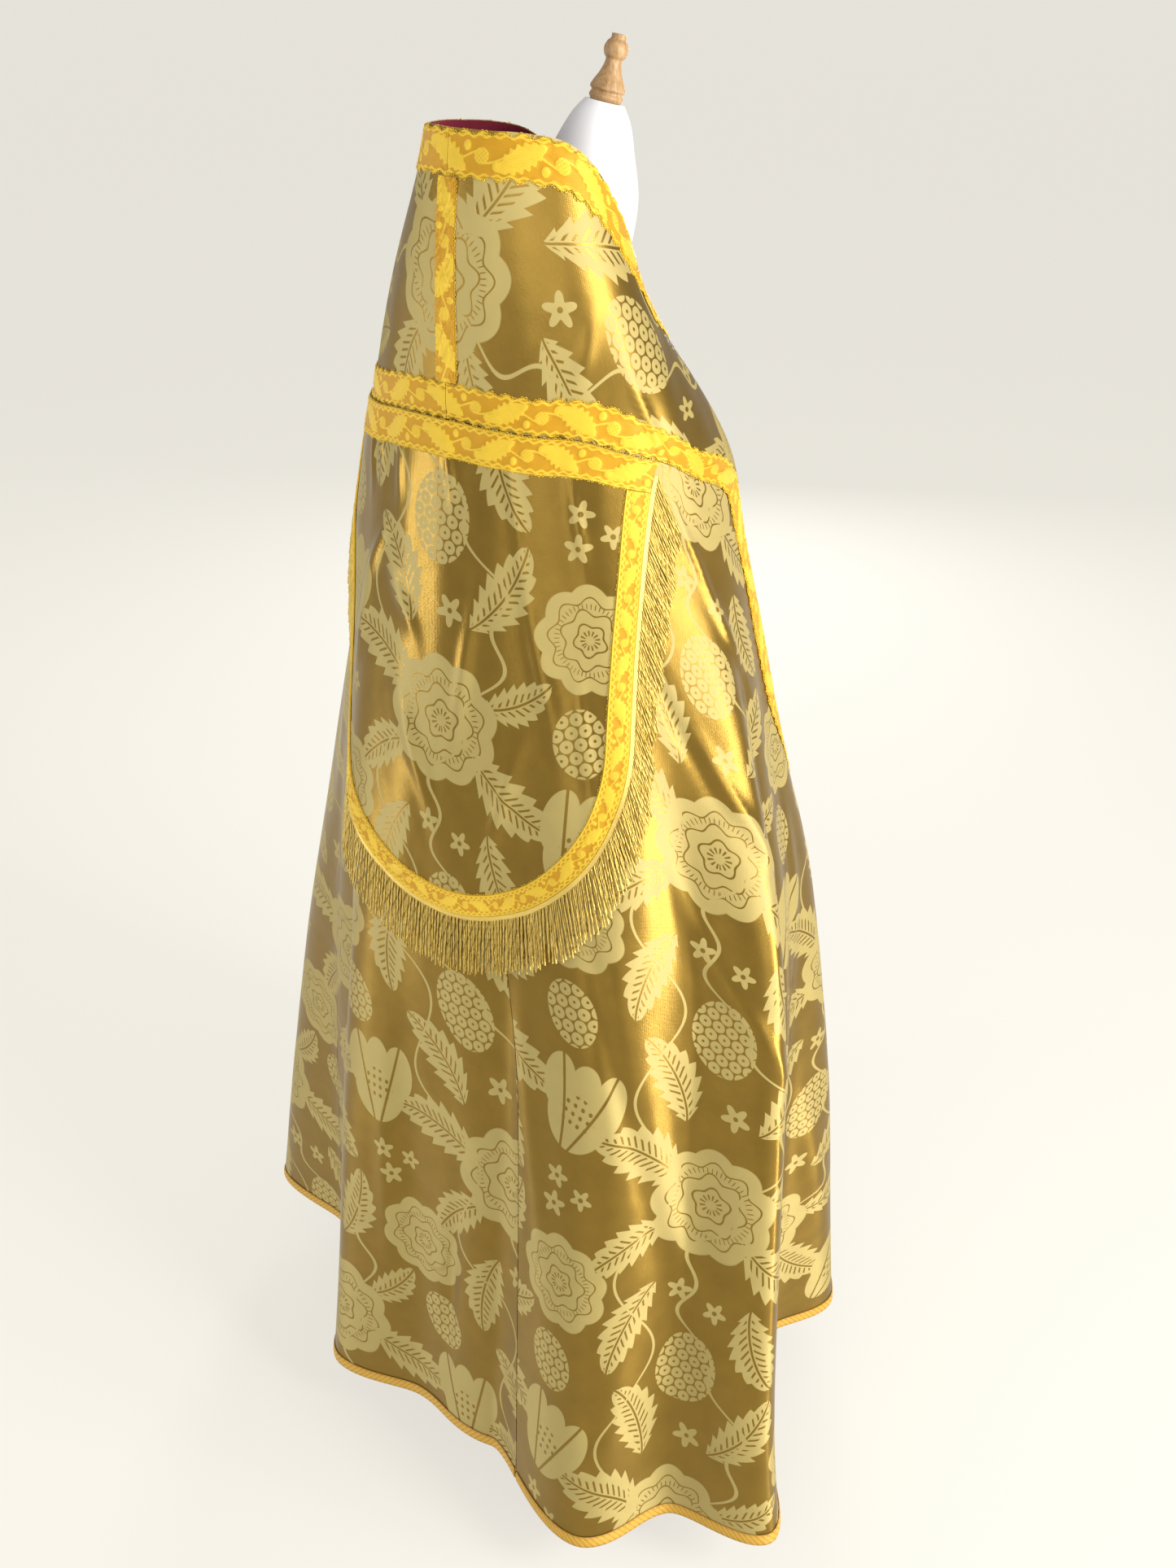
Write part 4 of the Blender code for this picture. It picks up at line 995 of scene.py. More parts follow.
class GalloonFinish(Finish):
    """Woven band: raised yarns on a ribbed ground, with painted light on the raised yarns and painted
    shade on the sunken ground and between the ribs.
    """

    def build(self, name: str, width: float, scale: float,
              relief: Callable = galloon_relief) -> bpy.types.Material:
        """The finished material for one width of band.

        Args:
            name: the material's name.
            width: the band's width in metres.
            scale: size of its design.
            relief: the function of its raised design.

        Returns:
            The material.
        """
        material, tree = self.start(name)
        s, t, place = cloth_places(tree)
        high = relief(s, t, width, scale)
        ribs = sine(s * 4200.0) * 0.5 + 0.5
        mottle = self.noise(tree, 60.0, 3.0, place)
        # Painted shade: the ground is darker between the ribs; the mottle adds a slight random change of
        # tone.
        ground = self.blend(tree, ribs * 0.5 + mottle * 0.4, tuple(0.74 * c for c in self.deep), self.deep)
        yarn = self.blend(tree, mottle, tuple(0.84 * c for c in self.light), self.light)
        # Painted light and shade: the colour follows the relief's height, paler on the raised yarns and
        # darker on the sunken ground.
        colour = self.blend(tree, least(high * 1.25, 1.0), ground, yarn)
        floss = sine((s * 0.7 + t) * 5200.0)
        self.dress(tree, colour, ribs * 0.12 + floss * 0.30 + mottle * 0.2, self.bump, 0.0006)
        return material


class PlainClothFinish(Finish):
    """Lining, fringe or jersey: one colour with a fine weave and slight change of tone."""

    def build(self, name: str, pitch: float) -> bpy.types.Material:
        """The finished material with threads at a pitch in metres."""
        material, tree = self.start(name)
        coordinates = tree.nodes.new("ShaderNodeTexCoord").outputs["Object"]
        parts = tree.nodes.new("ShaderNodeSeparateXYZ")
        tree.links.new(coordinates, parts.inputs["Vector"])
        x, y, z = (Field(tree, parts.outputs[axis]) for axis in ("X", "Y", "Z"))
        rate = 2.0 * math.pi / pitch
        weave = sine((x + y) * rate) * sine(z * rate)
        tone = self.noise(tree, 18.0, 5.0)
        colour = self.blend(tree, tone * 0.8 + weave * 0.1, self.deep, self.light)
        self.dress(tree, colour, weave * 0.5 + self.noise(tree, 420.0, 2.0), self.bump, 0.0003)
        return material


class WoodFinish(Finish):
    """Turned and oiled wood with its grain along the axis."""

    def build(self, name: str) -> bpy.types.Material:
        """The finished material."""
        material, tree = self.start(name)
        coordinates = tree.nodes.new("ShaderNodeTexCoord").outputs["Object"]
        mapping = tree.nodes.new("ShaderNodeMapping")
        mapping.inputs["Rotation"].default_value = (0.0, math.radians(-NECK_LEAN), 0.0)
        mapping.inputs["Scale"].default_value = (1.0, 1.0, 0.09)
        tree.links.new(coordinates, mapping.inputs["Vector"])
        grain = self.noise(tree, 420.0, 5.0, mapping.outputs["Vector"])
        broad = self.noise(tree, 90.0, 3.0, mapping.outputs["Vector"])
        share = least(most(grain * 1.5 + broad * 0.7 - 0.6, 0.0), 1.0)
        colour = self.blend(tree, share, self.deep, self.light)
        self.dress(tree, colour, grain, self.bump, 0.0003)
        return material


DAMASK = DamaskFinish(Weave.DAMASK, (0.290, 0.178, 0.028), (0.480, 0.375, 0.125), 0.4, bump=0.45)
LINING = PlainClothFinish(Weave.LINING, (0.120, 0.002, 0.012), (0.230, 0.006, 0.030), 0.55, sheen=0.3)
# The galloon's deep colour is painted shade for its sunken ground, its light colour the raised yarns with
# painted light.
GALLOON = GalloonFinish(Weave.GALLOON, (0.760, 0.390, 0.012), (0.950, 0.640, 0.045), 0.40, 0.25,
                        bump=0.8)
# The braid's deep colour is painted shade at the edges of its cords and in the grooves of their twist.
BRAID = GalloonFinish(Weave.BRAID, (0.330, 0.150, 0.010), (0.740, 0.430, 0.050), 0.50, 0.20, bump=0.7)
FRINGE = PlainClothFinish(Weave.FRINGE, (0.560, 0.380, 0.070), (0.950, 0.720, 0.210), 0.34, 0.65)
JERSEY = PlainClothFinish(Weave.JERSEY, (0.740, 0.745, 0.770), (0.860, 0.862, 0.880), 0.85, sheen=0.2)
WOOD = WoodFinish(Weave.WOOD, (0.230, 0.115, 0.040), (0.560, 0.360, 0.170), 0.42)
STEEL = PlainClothFinish(Weave.STEEL, (0.030, 0.030, 0.033), (0.055, 0.055, 0.060), 0.42, 0.3, bump=0.1)


def grid_quads(rows: int, columns: int, first: int, flip: bool) -> np.ndarray:
    """Corners of the quads of a grid of points."""
    start = np.arange(rows - 1)[:, None] * columns + np.arange(columns - 1)[None, :] + first
    quads = np.stack([start, start + columns, start + columns + 1, start + 1], axis=-1)
    quads = quads.reshape(-1, 4)
    return quads[:, ::-1] if flip else quads


def rim_quads(rows: int, columns: int) -> np.ndarray:
    """Corners of the quads that close the rim between two equal grids."""
    top = np.arange(columns)
    right = np.arange(rows) * columns + columns - 1
    bottom = (rows - 1) * columns + top[::-1]
    left = np.arange(rows)[::-1] * columns
    ring = np.concatenate([top[:-1], right[:-1], bottom[:-1], left[:-1]])
    after = np.roll(ring, -1)
    shift = rows * columns
    return np.stack([ring, after, after + shift, ring + shift], axis=-1)


def new_piece(name: str, points: np.ndarray, quads: np.ndarray,
              materials: Sequence[bpy.types.Material]) -> bpy.types.Object:
    """A smooth mesh object at the origin.

    Args:
        name: the piece's name.
        points: its points in metres.
        quads: corners of its faces.
        materials: its materials, the first on every face.

    Returns:
        The object, linked to the scene.
    """
    mesh = bpy.data.meshes.new(name)
    mesh.from_pydata(points.tolist(), [], quads.tolist())
    for material in materials:
        mesh.materials.append(material)
    mesh.shade_smooth()
    mesh.set_sharp_from_angle(angle=math.radians(60.0))
    thing = bpy.data.objects.new(name, mesh)
    bpy.context.scene.collection.objects.link(thing)
    return thing


def set_cloth_map(thing: bpy.types.Object, places: np.ndarray) -> None:
    """Store each point's place on the flat cloth as the piece's own map."""
    layer = thing.data.uv_layers.new(name="cloth")
    corners = np.zeros(len(thing.data.loops), dtype=np.int32)
    thing.data.loops.foreach_get("vertex_index", corners)
    layer.data.foreach_set("uv", places[corners].astype(np.float32).ravel())


def cloth_wall(name: str, sheet: Sheet, low: np.ndarray | float, high: np.ndarray | float,
               outer: bpy.types.Material, inner: bpy.types.Material | None = None) -> bpy.types.Object:
    """A thin closed wall between two offsets of a sheet.

    Args:
        name: the piece's name.
        sheet: the grid on its middle.
        low: offset of the inner face.
        high: offset of the outer face, which may vary over the grid.
        outer: material of the outer face and the rim.
        inner: material of the inner face, if it differs.

    Returns:
        The object with its cloth map.
    """
    rows, columns = sheet.points.shape[:2]
    points = np.concatenate([sheet.moved(high).reshape(-1, 3), sheet.moved(low).reshape(-1, 3)])
    around = np.cross(sheet.points[1, 0] - sheet.points[0, 0], sheet.points[0, 1] - sheet.points[0, 0])
    flip = float(np.dot(around, sheet.normals[0, 0])) < 0.0
    face = grid_quads(rows, columns, 0, flip)
    back = grid_quads(rows, columns, rows * columns, not flip)
    rim = rim_quads(rows, columns)
    rim = rim if flip else rim[:, ::-1]
    thing = new_piece(name, points, np.concatenate([face, back, rim]),
                      [outer] + ([inner] if inner else []))
    if inner:
        index = np.zeros(len(thing.data.polygons), dtype=np.int32)
        index[len(face):len(face) + len(back)] = 1
        thing.data.polygons.foreach_set("material_index", index)
    flat = sheet.cloth.reshape(-1, 2)
    set_cloth_map(thing, np.concatenate([flat, flat]))
    return thing


def stand_for(thing: bpy.types.Object, slot: Weave, *nodes: str) -> bpy.types.Object:
    """Let a finished piece ride and stand for its solids."""
    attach(thing, ROOT)
    if nodes:
        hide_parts(*nodes)
    LOG.info("%s: %d faces", thing.name, len(thing.data.polygons))
    return thing


class RepeatTree:
    """A Geometry Nodes tree that sets one small shape on every point of a mesh."""

    def __init__(self, name: str) -> None:
        """Start the tree with its geometry sockets."""
        self.tree = bpy.data.node_groups.new(name, "GeometryNodeTree")
        self.tree.interface.new_socket("Geometry", in_out="INPUT", socket_type="NodeSocketGeometry")
        self.tree.interface.new_socket("Geometry", in_out="OUTPUT", socket_type="NodeSocketGeometry")
        self.names: dict[str, str] = {}
        self.inputs = self.tree.nodes.new("NodeGroupInput")

    def size(self, name: str) -> bpy.types.NodeSocket:
        """A named number input of the tree."""
        made = self.tree.interface.new_socket(name, in_out="INPUT", socket_type="NodeSocketFloat")
        self.names[name] = made.identifier
        return self.inputs.outputs[name]

    def node(self, kind: str, **links: bpy.types.NodeSocket | float | str) -> bpy.types.Node:
        """A node with its inputs linked or set by name."""
        made = self.tree.nodes.new(kind)
        for name, value in links.items():
            socket = made.inputs[name.replace("_", " ")]
            if isinstance(value, bpy.types.NodeSocket):
                self.tree.links.new(value, socket)
            else:
                socket.default_value = value
        return made

    def direction(self, name: str) -> bpy.types.NodeSocket:
        """A direction stored on the points."""
        made = self.tree.nodes.new("GeometryNodeInputNamedAttribute")
        made.data_type = "FLOAT_VECTOR"
        made.inputs["Name"].default_value = name
        return made.outputs["Attribute"]

    def turned(self, first: str, first_name: str, second: str, second_name: str) -> bpy.types.NodeSocket:
        """A rotation that brings two axes to two stored directions."""
        one = self.node("FunctionNodeAlignRotationToVector", Vector=self.direction(first_name))
        one.axis = first
        two = self.node("FunctionNodeAlignRotationToVector", Vector=self.direction(second_name),
                        Rotation=one.outputs["Rotation"])
        two.axis = second
        two.pivot_axis = first
        return two.outputs["Rotation"]

    def finish(self, shape: bpy.types.NodeSocket, rotation: bpy.types.NodeSocket,
               scale: bpy.types.NodeSocket, material: bpy.types.Material) -> None:
        """Set the shape on the points, realize the instances and give the material."""
        placed = self.node("GeometryNodeInstanceOnPoints", Points=self.inputs.outputs["Geometry"],
                           Instance=shape, Rotation=rotation, Scale=scale)
        real = self.node("GeometryNodeRealizeInstances", Geometry=placed.outputs["Instances"])
        dressed = self.node("GeometryNodeSetMaterial", Geometry=real.outputs["Geometry"])
        dressed.inputs["Material"].default_value = material
        out = self.tree.nodes.new("NodeGroupOutput")
        self.tree.links.new(dressed.outputs["Geometry"], out.inputs["Geometry"])

    def grow(self, name: str, points: np.ndarray, directions: dict[str, np.ndarray],
             sizes: dict[str, float]) -> bpy.types.Object:
        """Run the tree on points and keep the result as a plain mesh.

        Args:
            name: the piece's name.
            points: where each shape stands.
            directions: a direction for each point by name.
            sizes: the tree's named sizes.

        Returns:
            The object, its modifier removed.
        """
        mesh = bpy.data.meshes.new(name)
        mesh.from_pydata(points.tolist(), [], [])
        for key, values in directions.items():
            stored = mesh.attributes.new(key, "FLOAT_VECTOR", "POINT")
            stored.data.foreach_set("vector", values.astype(np.float32).ravel())
        thing = bpy.data.objects.new(name, mesh)
        bpy.context.scene.collection.objects.link(thing)
        modifier = thing.modifiers.new("repeat", "NODES")
        modifier.node_group = self.tree
        for key, value in sizes.items():
            modifier[self.names[key]] = value
        shown = thing.evaluated_get(bpy.context.evaluated_depsgraph_get())
        made = bpy.data.meshes.new_from_object(shown)
        thing.modifiers.clear()
        thing.data = made
        made.name = name
        for key in directions:
            if key in made.attributes:
                made.attributes.remove(made.attributes[key])
        made.shade_smooth()
        return thing


def loop_tree(material: bpy.types.Material) -> RepeatTree:
    """Small yarn loops for the edges of a galloon."""
    tree = RepeatTree("edge loops")
    radius, yarn = tree.size("Loop radius"), tree.size("Yarn radius")
    arc = tree.node("GeometryNodeCurveArc", Resolution=5, Radius=radius, Start_Angle=0.0,
                    Sweep_Angle=math.pi)
    ring = tree.node("GeometryNodeCurvePrimitiveCircle", Resolution=3, Radius=yarn)
    tube = tree.node("GeometryNodeCurveToMesh", Curve=arc.outputs["Curve"],
                     Profile_Curve=ring.outputs["Curve"])
    rotation = tree.turned("X", "along", "Y", "away")
    tree.finish(tube.outputs["Mesh"], rotation, tree.direction("stretch"), material)
    return tree


def strand_tree(material: bpy.types.Material) -> RepeatTree:
    """Twisted strands for the fringe, each of a unit length before it is stretched."""
    tree = RepeatTree("fringe strands")
    twist = tree.size("Twist")
    line = tree.node("GeometryNodeCurvePrimitiveLine", End=(0.0, 0.0, 1.0))
    fine = tree.node("GeometryNodeResampleCurve", Curve=line.outputs["Curve"], Count=11)
    index = tree.node("GeometryNodeInputIndex")
    turn = tree.tree.nodes.new("ShaderNodeMath")
    turn.operation = "MULTIPLY"
    tree.tree.links.new(index.outputs["Index"], turn.inputs[0])
    tree.tree.links.new(twist, turn.inputs[1])
    tilted = tree.node("GeometryNodeSetCurveTilt", Curve=fine.outputs["Curve"], Tilt=turn.outputs[0])
    ring = tree.node("GeometryNodeCurvePrimitiveCircle", Resolution=4, Radius=1.0)
    oval = tree.node("GeometryNodeTransform", Geometry=ring.outputs["Curve"], Scale=(1.0, 0.55, 1.0))
    tube = tree.node("GeometryNodeCurveToMesh", Curve=tilted.outputs["Curve"],
                     Profile_Curve=oval.outputs["Geometry"])
    tube.inputs["Fill Caps"].default_value = True
    rotation = tree.turned("Z", "hang", "X", "phase")
    tree.finish(tube.outputs["Mesh"], rotation, tree.direction("stretch"), material)
    return tree


@dataclass
class Trim:
    """Woven bands and the loops of yarn along their edges."""

    raise_by: float = 0.0011
    base: float = 0.0006
    loop_pitch: float = 0.0036
    loop_radius: float = 0.0013
    yarn_radius: float = 0.00038

    def band(self, name: str, slot: Weave, sheet: Sheet, width: float, scale: float,
             material: bpy.types.Material, relief: Callable = galloon_relief) -> bpy.types.Object:
        """A band with its raised design, standing for the solid of the same name.

        Args:
            name: the solid's name.
            slot: the piece's slot, passed on but not used.
            sheet: the grid under it, with places along and across in metres.
            width: the band's width.
            scale: size of its design.
            material: its finish.
            relief: the function of its raised design.

        Returns:
            The band.
        """
        s, t = sheet.cloth[..., 0], sheet.cloth[..., 1]
        high = relief(s, t, width, scale)
        low = CLOTH / 2 + SEAM
        piece = cloth_wall("band_" + name, sheet, low, low + self.base + self.raise_by * high, material)
        stand_for(piece, slot, name)
        return piece

    def loops(self, name: str, sheet: Sheet, tree: RepeatTree, lift: float) -> bpy.types.Object:
        """Loops of yarn along both long edges of a band."""
        spots, along, away = [], [], []
        for edge, beside in ((0, 1), (-1, -2)):
            line = sheet.points[:, edge] + sheet.normals[:, edge] * lift
            inner = sheet.points[:, beside] + sheet.normals[:, beside] * lift
            length = lengths_along(line)
            wanted = np.arange(self.loop_pitch, length[-1] - self.loop_pitch, self.loop_pitch)
            at = [np.interp(wanted, length, line[:, k]) for k in range(3)]
            out = [np.interp(wanted, length, (line - inner)[:, k]) for k in range(3)]
            ahead = [np.interp(wanted, length, np.gradient(line, axis=0)[:, k]) for k in range(3)]
            spots.append(np.stack(at, axis=-1))
            away.append(unit(np.stack(out, axis=-1)))
            along.append(unit(np.stack(ahead, axis=-1)))
        points = np.concatenate(spots)
        stretch = np.ones_like(points)
        stretch[:, 1] = 1.0 + 0.35 * np.sin(np.arange(len(points)) * 1.9)
        ways = {"along": np.concatenate(along), "away": np.concatenate(away), "stretch": stretch}
        piece = tree.grow("loops_" + name, points, ways,
                          {"Loop radius": self.loop_radius, "Yarn radius": self.yarn_radius})
        stand_for(piece, Weave.GALLOON)
        return piece


def scallops(s: np.ndarray, scale: float) -> np.ndarray:
    """How far a galloon's edge is drawn in at lengths along it."""
    return SCALLOP * scale * (0.5 - 0.5 * np.cos(s * (2.0 * math.pi / (SCALLOP_PITCH * scale))))


def strip_grid(inner: tuple[np.ndarray, np.ndarray], outer: tuple[np.ndarray, np.ndarray],
               start: np.ndarray, end: np.ndarray) -> tuple[np.ndarray, np.ndarray]:
    """Angles and drops between two edges, from a start share to an end share of the way."""
    share = start[:, None] + (end - start)[:, None] * np.linspace(0.0, 1.0, STRIP_COLUMNS)[None, :]
    angle = mix(inner[0][:, None], outer[0][:, None], share)
    return angle, mix(inner[1][:, None], outer[1][:, None], share)


@dataclass
class Orphrey:
    """The band of damask along the cope's straight edge, with its galloons."""

    side: Side
    plain_columns: int = 36
    plain_rows: int = 280

    def edges(self, shares: np.ndarray) -> tuple[tuple, tuple, np.ndarray]:
        """Both edges at shares and the width between them."""
        inner = self.side.straight_edge(shares)
        outer = self.side.orphrey_edge(shares)
        width = np.linalg.norm(WORN.points(*inner) - WORN.points(*outer), axis=-1)
        return inner, outer, width

    def panel(self) -> Sheet:
        """The grid of the damask panel."""
        shares = np.linspace(0.0, 1.0, self.plain_rows)
        inner, outer, width = self.edges(shares)
        across = np.linspace(0.0, 1.0, self.plain_columns)[None, :]
        angle = mix(inner[0][:, None], outer[0][:, None], across)
        angle = angle + self.side.seam_clear(shares, 0.16)[:, None]
        drop = mix(inner[1][:, None], outer[1][:, None], across)
        middle = WORN.points(angle, drop)[:, self.plain_columns // 2]
        along = lengths_along(middle)[:, None] * self.side.sign
        cloth = np.stack(np.broadcast_arrays(width[:, None] * (across - 0.5), along), axis=-1)
        return Sheet.worn(angle, drop, 0.0, cloth)

    def strip(self, width_wanted: float, at_outer: bool) -> Sheet:
        """The grid of a galloon along the inner or the outer edge."""
        coarse = np.linspace(0.0, 1.0, 400)
        edge = self.side.orphrey_edge(coarse) if at_outer else self.side.straight_edge(coarse)
        length = lengths_along(WORN.points(*edge))
        rows = int(length[-1] / STRIP_STEP)
        wanted = np.linspace(0.0, length[-1], rows)
        shares = np.interp(wanted, length, coarse)
        inner, outer, width = self.edges(shares)
        scale = width_wanted / NECK_GALLOON
        drawn = scallops(wanted, scale)
        start = (TRIM_INSET + drawn) / width
        end = (width_wanted - drawn) / width
        if at_outer:
            start, end = 1.0 - end, 1.0 - start + TRIM_INSET / 2 / width
        angle, drop = strip_grid(inner, outer, start, end)
        angle = angle + self.side.seam_clear(shares, 0.16)[:, None]
        t = np.linspace(-0.5, 0.5, STRIP_COLUMNS)[None, :] * (width_wanted - 2.0 * drawn)[:, None]
        s = wanted[:, None] * self.side.sign
        return Sheet.worn(angle, drop, 0.0, np.stack(np.broadcast_arrays(s, t), axis=-1))


@dataclass
class Body:
    """One half of the cope's body, with the braid along its hem."""

    side: Side
    rows: int = 140

    def panel(self) -> Sheet:
        """The grid of the body half, with its places on the half-circle cut."""
        side = self.side
        shares, hem_angle = side.stations()
        top_angle, top_drop = side.orphrey_edge(shares)
        clear = SEAM * 2 / FALL_LENGTH
        rows = np.linspace(0.0, 1.0, self.rows)[None, :]
        drop = mix(top_drop[:, None] + clear, 1.0, rows)
        at_top = WORN.fold_line(hem_angle, top_drop)
        down = (drop - top_drop[:, None]) / (1.0 - top_drop[:, None])
        angle = WORN.fold_line(hem_angle[:, None], drop)
        angle = angle + (top_angle - at_top)[:, None] * (1.0 - down)
        pull = WORN.back_seam(drop[0]) - angle[0]
        fading = (1.0 - shares / LAST_BODY_SHARE) ** SEAM_REACH
        angle = angle + fading[:, None] * pull[None, :]
        keep_clear = -FRONT_CLEAR * np.clip((shares - TURN) / FRONT_CLEAR_REACH + 1.0, 0.0, 1.0)
        keep_clear[0] = math.degrees(SEAM / 0.2)
        angle = angle + side.sign * keep_clear[:, None]
        across, up = WORN.girth(angle, drop), -FALL_LENGTH * drop
        turn = side.grain
        cloth = np.stack([across * math.cos(turn) + up * math.sin(turn) + side.sign * 0.05,
                          up * math.cos(turn) - across * math.sin(turn)], axis=-1)
        return Sheet.worn(angle, drop, 0.0, cloth)

    def braid(self, panel: Sheet) -> Sheet:
        """The grid of the braid along the hem, finer than the panel."""
        line, above = panel.points[:, -1], panel.points[:, -4]
        length = lengths_along(line)
        wanted = np.linspace(0.0015, length[-1] - 0.0015, int(length[-1] / 0.0019))

        def along(values: np.ndarray) -> np.ndarray:
            """Values of the panel's stations at the wanted lengths."""
            return np.stack([np.interp(wanted, length, values[:, k]) for k in range(3)], axis=-1)

        up = unit(along(above - line))
        share = np.linspace(0.0, 1.0, 11)
        points = along(line)[:, None] + up[:, None] * (share * HEM_BRAID)[None, :, None]
        normals = np.broadcast_to(unit(along(panel.normals[:, -2]))[:, None], points.shape)
        t = (share - 0.5)[None, :] * HEM_BRAID
        cloth = np.stack(np.broadcast_arrays(wanted[:, None], t), axis=-1)
        return Sheet(points, normals, cloth)


@dataclass
class Hood:
    """The shield-shaped hood, its galloons and its fringe."""

    rows: int = 96
    columns: int = 110
    strands: int = 520
    strand_half: float = 0.00115

    def place(self, sideways: np.ndarray, below: np.ndarray) -> tuple[np.ndarray, np.ndarray]:
        """Angles and drops of places on the hood, measured from its top centre."""
        taper = HOOD_TAPER * np.clip(below / HOOD_LENGTH, 0.0, 1.1) ** HOOD_TAPER_POWER
        narrowed = sideways * (1.0 - taper)
        top = WORN.walk_round(WORN.hood_middle(0.17), 0.17 + 0.0 * narrowed, narrowed)
        drop = WORN.edge_drop(top) + (SEAM * 2 + below) / FALL_LENGTH
        return WORN.walk_round(WORN.hood_middle(drop), drop, narrowed), drop

    def lift(self, sideways: np.ndarray, below: np.ndarray) -> np.ndarray:
        """How far the hood stands off the body, with its own creases."""
        share = np.clip(below / HOOD_LENGTH, 0.0, 1.2)
        total = CLOTH + HOOD_LIFT + HOOD_FOOT_LIFT * share ** HOOD_LIFT_POWER
        for crease in HOOD_CREASES:
            total = total + crease_height(sideways - crease.across, below - crease.below, crease)
        return total

    def outline(self, share: np.ndarray, inset: float) -> tuple[np.ndarray, np.ndarray]:
        """Places on the hood's edge, left top to right top, moved in by an inset."""
        half = HOOD_HALF_WIDTH - inset
        foot = HOOD_LENGTH - HOOD_SIDE - inset
        arc = math.pi / 2 * (half + foot)
        whole = 2 * HOOD_SIDE + arc
        at = share * whole
        turn = np.clip(math.pi * (at - HOOD_SIDE) / arc, 0.0, math.pi)
        below = np.minimum(np.minimum(at, whole - at), HOOD_SIDE) + foot * np.sin(turn)
        return -half * np.cos(turn), below

    def sheet(self, sideways: np.ndarray, below: np.ndarray, cloth: np.ndarray,
              extra: float = 0.0) -> Sheet:
        """A grid on the hood's own surface."""
        lift = self.lift(sideways, below) + extra
        return Sheet.worn(*self.place(sideways, below), lift, cloth, creased=False)

    def panel(self) -> Sheet:
        """The grid of the hood: rows are fans from its spine to its rim."""
        share = np.linspace(0.0, 1.0, self.rows)[:, None]
        across = np.linspace(-1.0, 1.0, self.columns)[None, :]
        foot = (HOOD_LENGTH - HOOD_SIDE)
        half = HOOD_HALF_WIDTH
        deepest = HOOD_SIDE + foot * np.sqrt(np.maximum(1.0 - (across * 0.9995) ** 2, 0.0))
        sideways = across * half + 0.0 * share
        below = share * deepest
        cloth = np.stack([sideways, 0.30 - below], axis=-1)
        return self.sheet(sideways, below, cloth)

    def rim(self, count: int, wide: float) -> Sheet:
        """The grid of the edge galloon round the hood."""
        share = np.linspace(0.0, 1.0, count)
        rim, rim_below = self.outline(share, 0.0)
        inner = rim * (1.0 - wide / HOOD_HALF_WIDTH)
        past = np.clip(rim_below - HOOD_SIDE, 0.0, None)
        inner_below = (np.minimum(rim_below, HOOD_SIDE)
                       + past * (1.0 - wide / (HOOD_LENGTH - HOOD_SIDE)))
        across = np.linspace(0.01, 1.0, 14)[None, :]
        sideways = mix(rim[:, None], inner[:, None], across)
        below = mix(rim_below[:, None], inner_below[:, None], across)
        flat = np.stack([rim, rim_below], axis=-1)
        s = lengths_along(flat)[:, None]
        cloth = np.stack(np.broadcast_arrays(s, (across - 0.5) * wide), axis=-1)
        keep = slice(int(ORPHREY_GALLOON / s[-1, 0] * count) + 1,
                     count - int(ORPHREY_GALLOON / s[-1, 0] * count) - 1)
        sheet = self.sheet(sideways, below, cloth)
        return Sheet(sheet.points[keep], sheet.normals[keep], sheet.cloth[keep])

    def top(self) -> Sheet:
        """The grid of the wide galloon along the hood's top."""
        count = int(2 * HOOD_HALF_WIDTH / STRIP_STEP)
        sideways = np.linspace(-HOOD_HALF_WIDTH, HOOD_HALF_WIDTH, count)[:, None]
        below = np.linspace(TRIM_INSET / 2, ORPHREY_GALLOON - SEAM, STRIP_COLUMNS)[None, :]
        sideways, below = np.broadcast_arrays(sideways, below)
        cloth = np.stack([sideways, below - ORPHREY_GALLOON / 2], axis=-1)
        return self.sheet(sideways, below, cloth)

    def fringe_roots(self) -> tuple[np.ndarray, dict[str, np.ndarray], Sheet]:
        """Roots of the strands, their directions, and the grid of the fringe's head."""
        shares = np.linspace(FRINGE_START, 1.0 - FRINGE_START, self.strands)
        near = np.stack(self.outline(shares, -SEAM * 2), axis=-1)
        far = np.stack(self.outline(shares, -SEAM * 2 - FRINGE_HEAD), axis=-1)
        head_share = np.linspace(0.0, 1.0, 5)[None, :, None]
        head = mix(near[:, None], far[:, None], head_share)
        flat = lengths_along(near)[:, None]
        cloth = np.stack(np.broadcast_arrays(flat, (head_share[..., 0] - 0.5) * FRINGE_HEAD), axis=-1)
        head_sheet = self.sheet(head[..., 0], head[..., 1], cloth, FRINGE_LIFT)
        count = np.arange(self.strands)
        out = unit(far - near)
        hang = unit(out * FRINGE_FLARE + np.array([0.0, 1.0]))
        length = FRINGE_LENGTH * (1.0 + 0.035 * np.sin(count * 1.7) + 0.02 * np.sin(count * 0.37))
        tip = far + hang * length[:, None]
        tip[:, 0] += 0.0010 * np.sin(count * 2.4) + 0.0022 * np.sin(count * 0.31)
        rise = 0.0006 * np.sin(count * 2.9) + FRINGE_LIFT
        nothing = np.zeros((self.strands, 2))
        start = self.sheet(far[:, 0], far[:, 1], nothing, 0.0)
        end = self.sheet(tip[:, 0], tip[:, 1], nothing, 0.0)
        first = start.points + start.normals * (rise + 0.0004)[:, None]
        last = end.points + end.normals * (rise + 0.0006)[:, None]
        way = last - first
        stretch = np.stack([np.full(self.strands, self.strand_half),
                            np.full(self.strands, self.strand_half),
                            np.linalg.norm(way, axis=-1)], axis=-1)
        spin = count * 2.399
        side = unit(np.cross(way, start.normals))
        phase = side * np.cos(spin)[:, None] + start.normals * np.sin(spin)[:, None]
        return first, {"hang": unit(way), "phase": phase, "stretch": stretch}, head_sheet


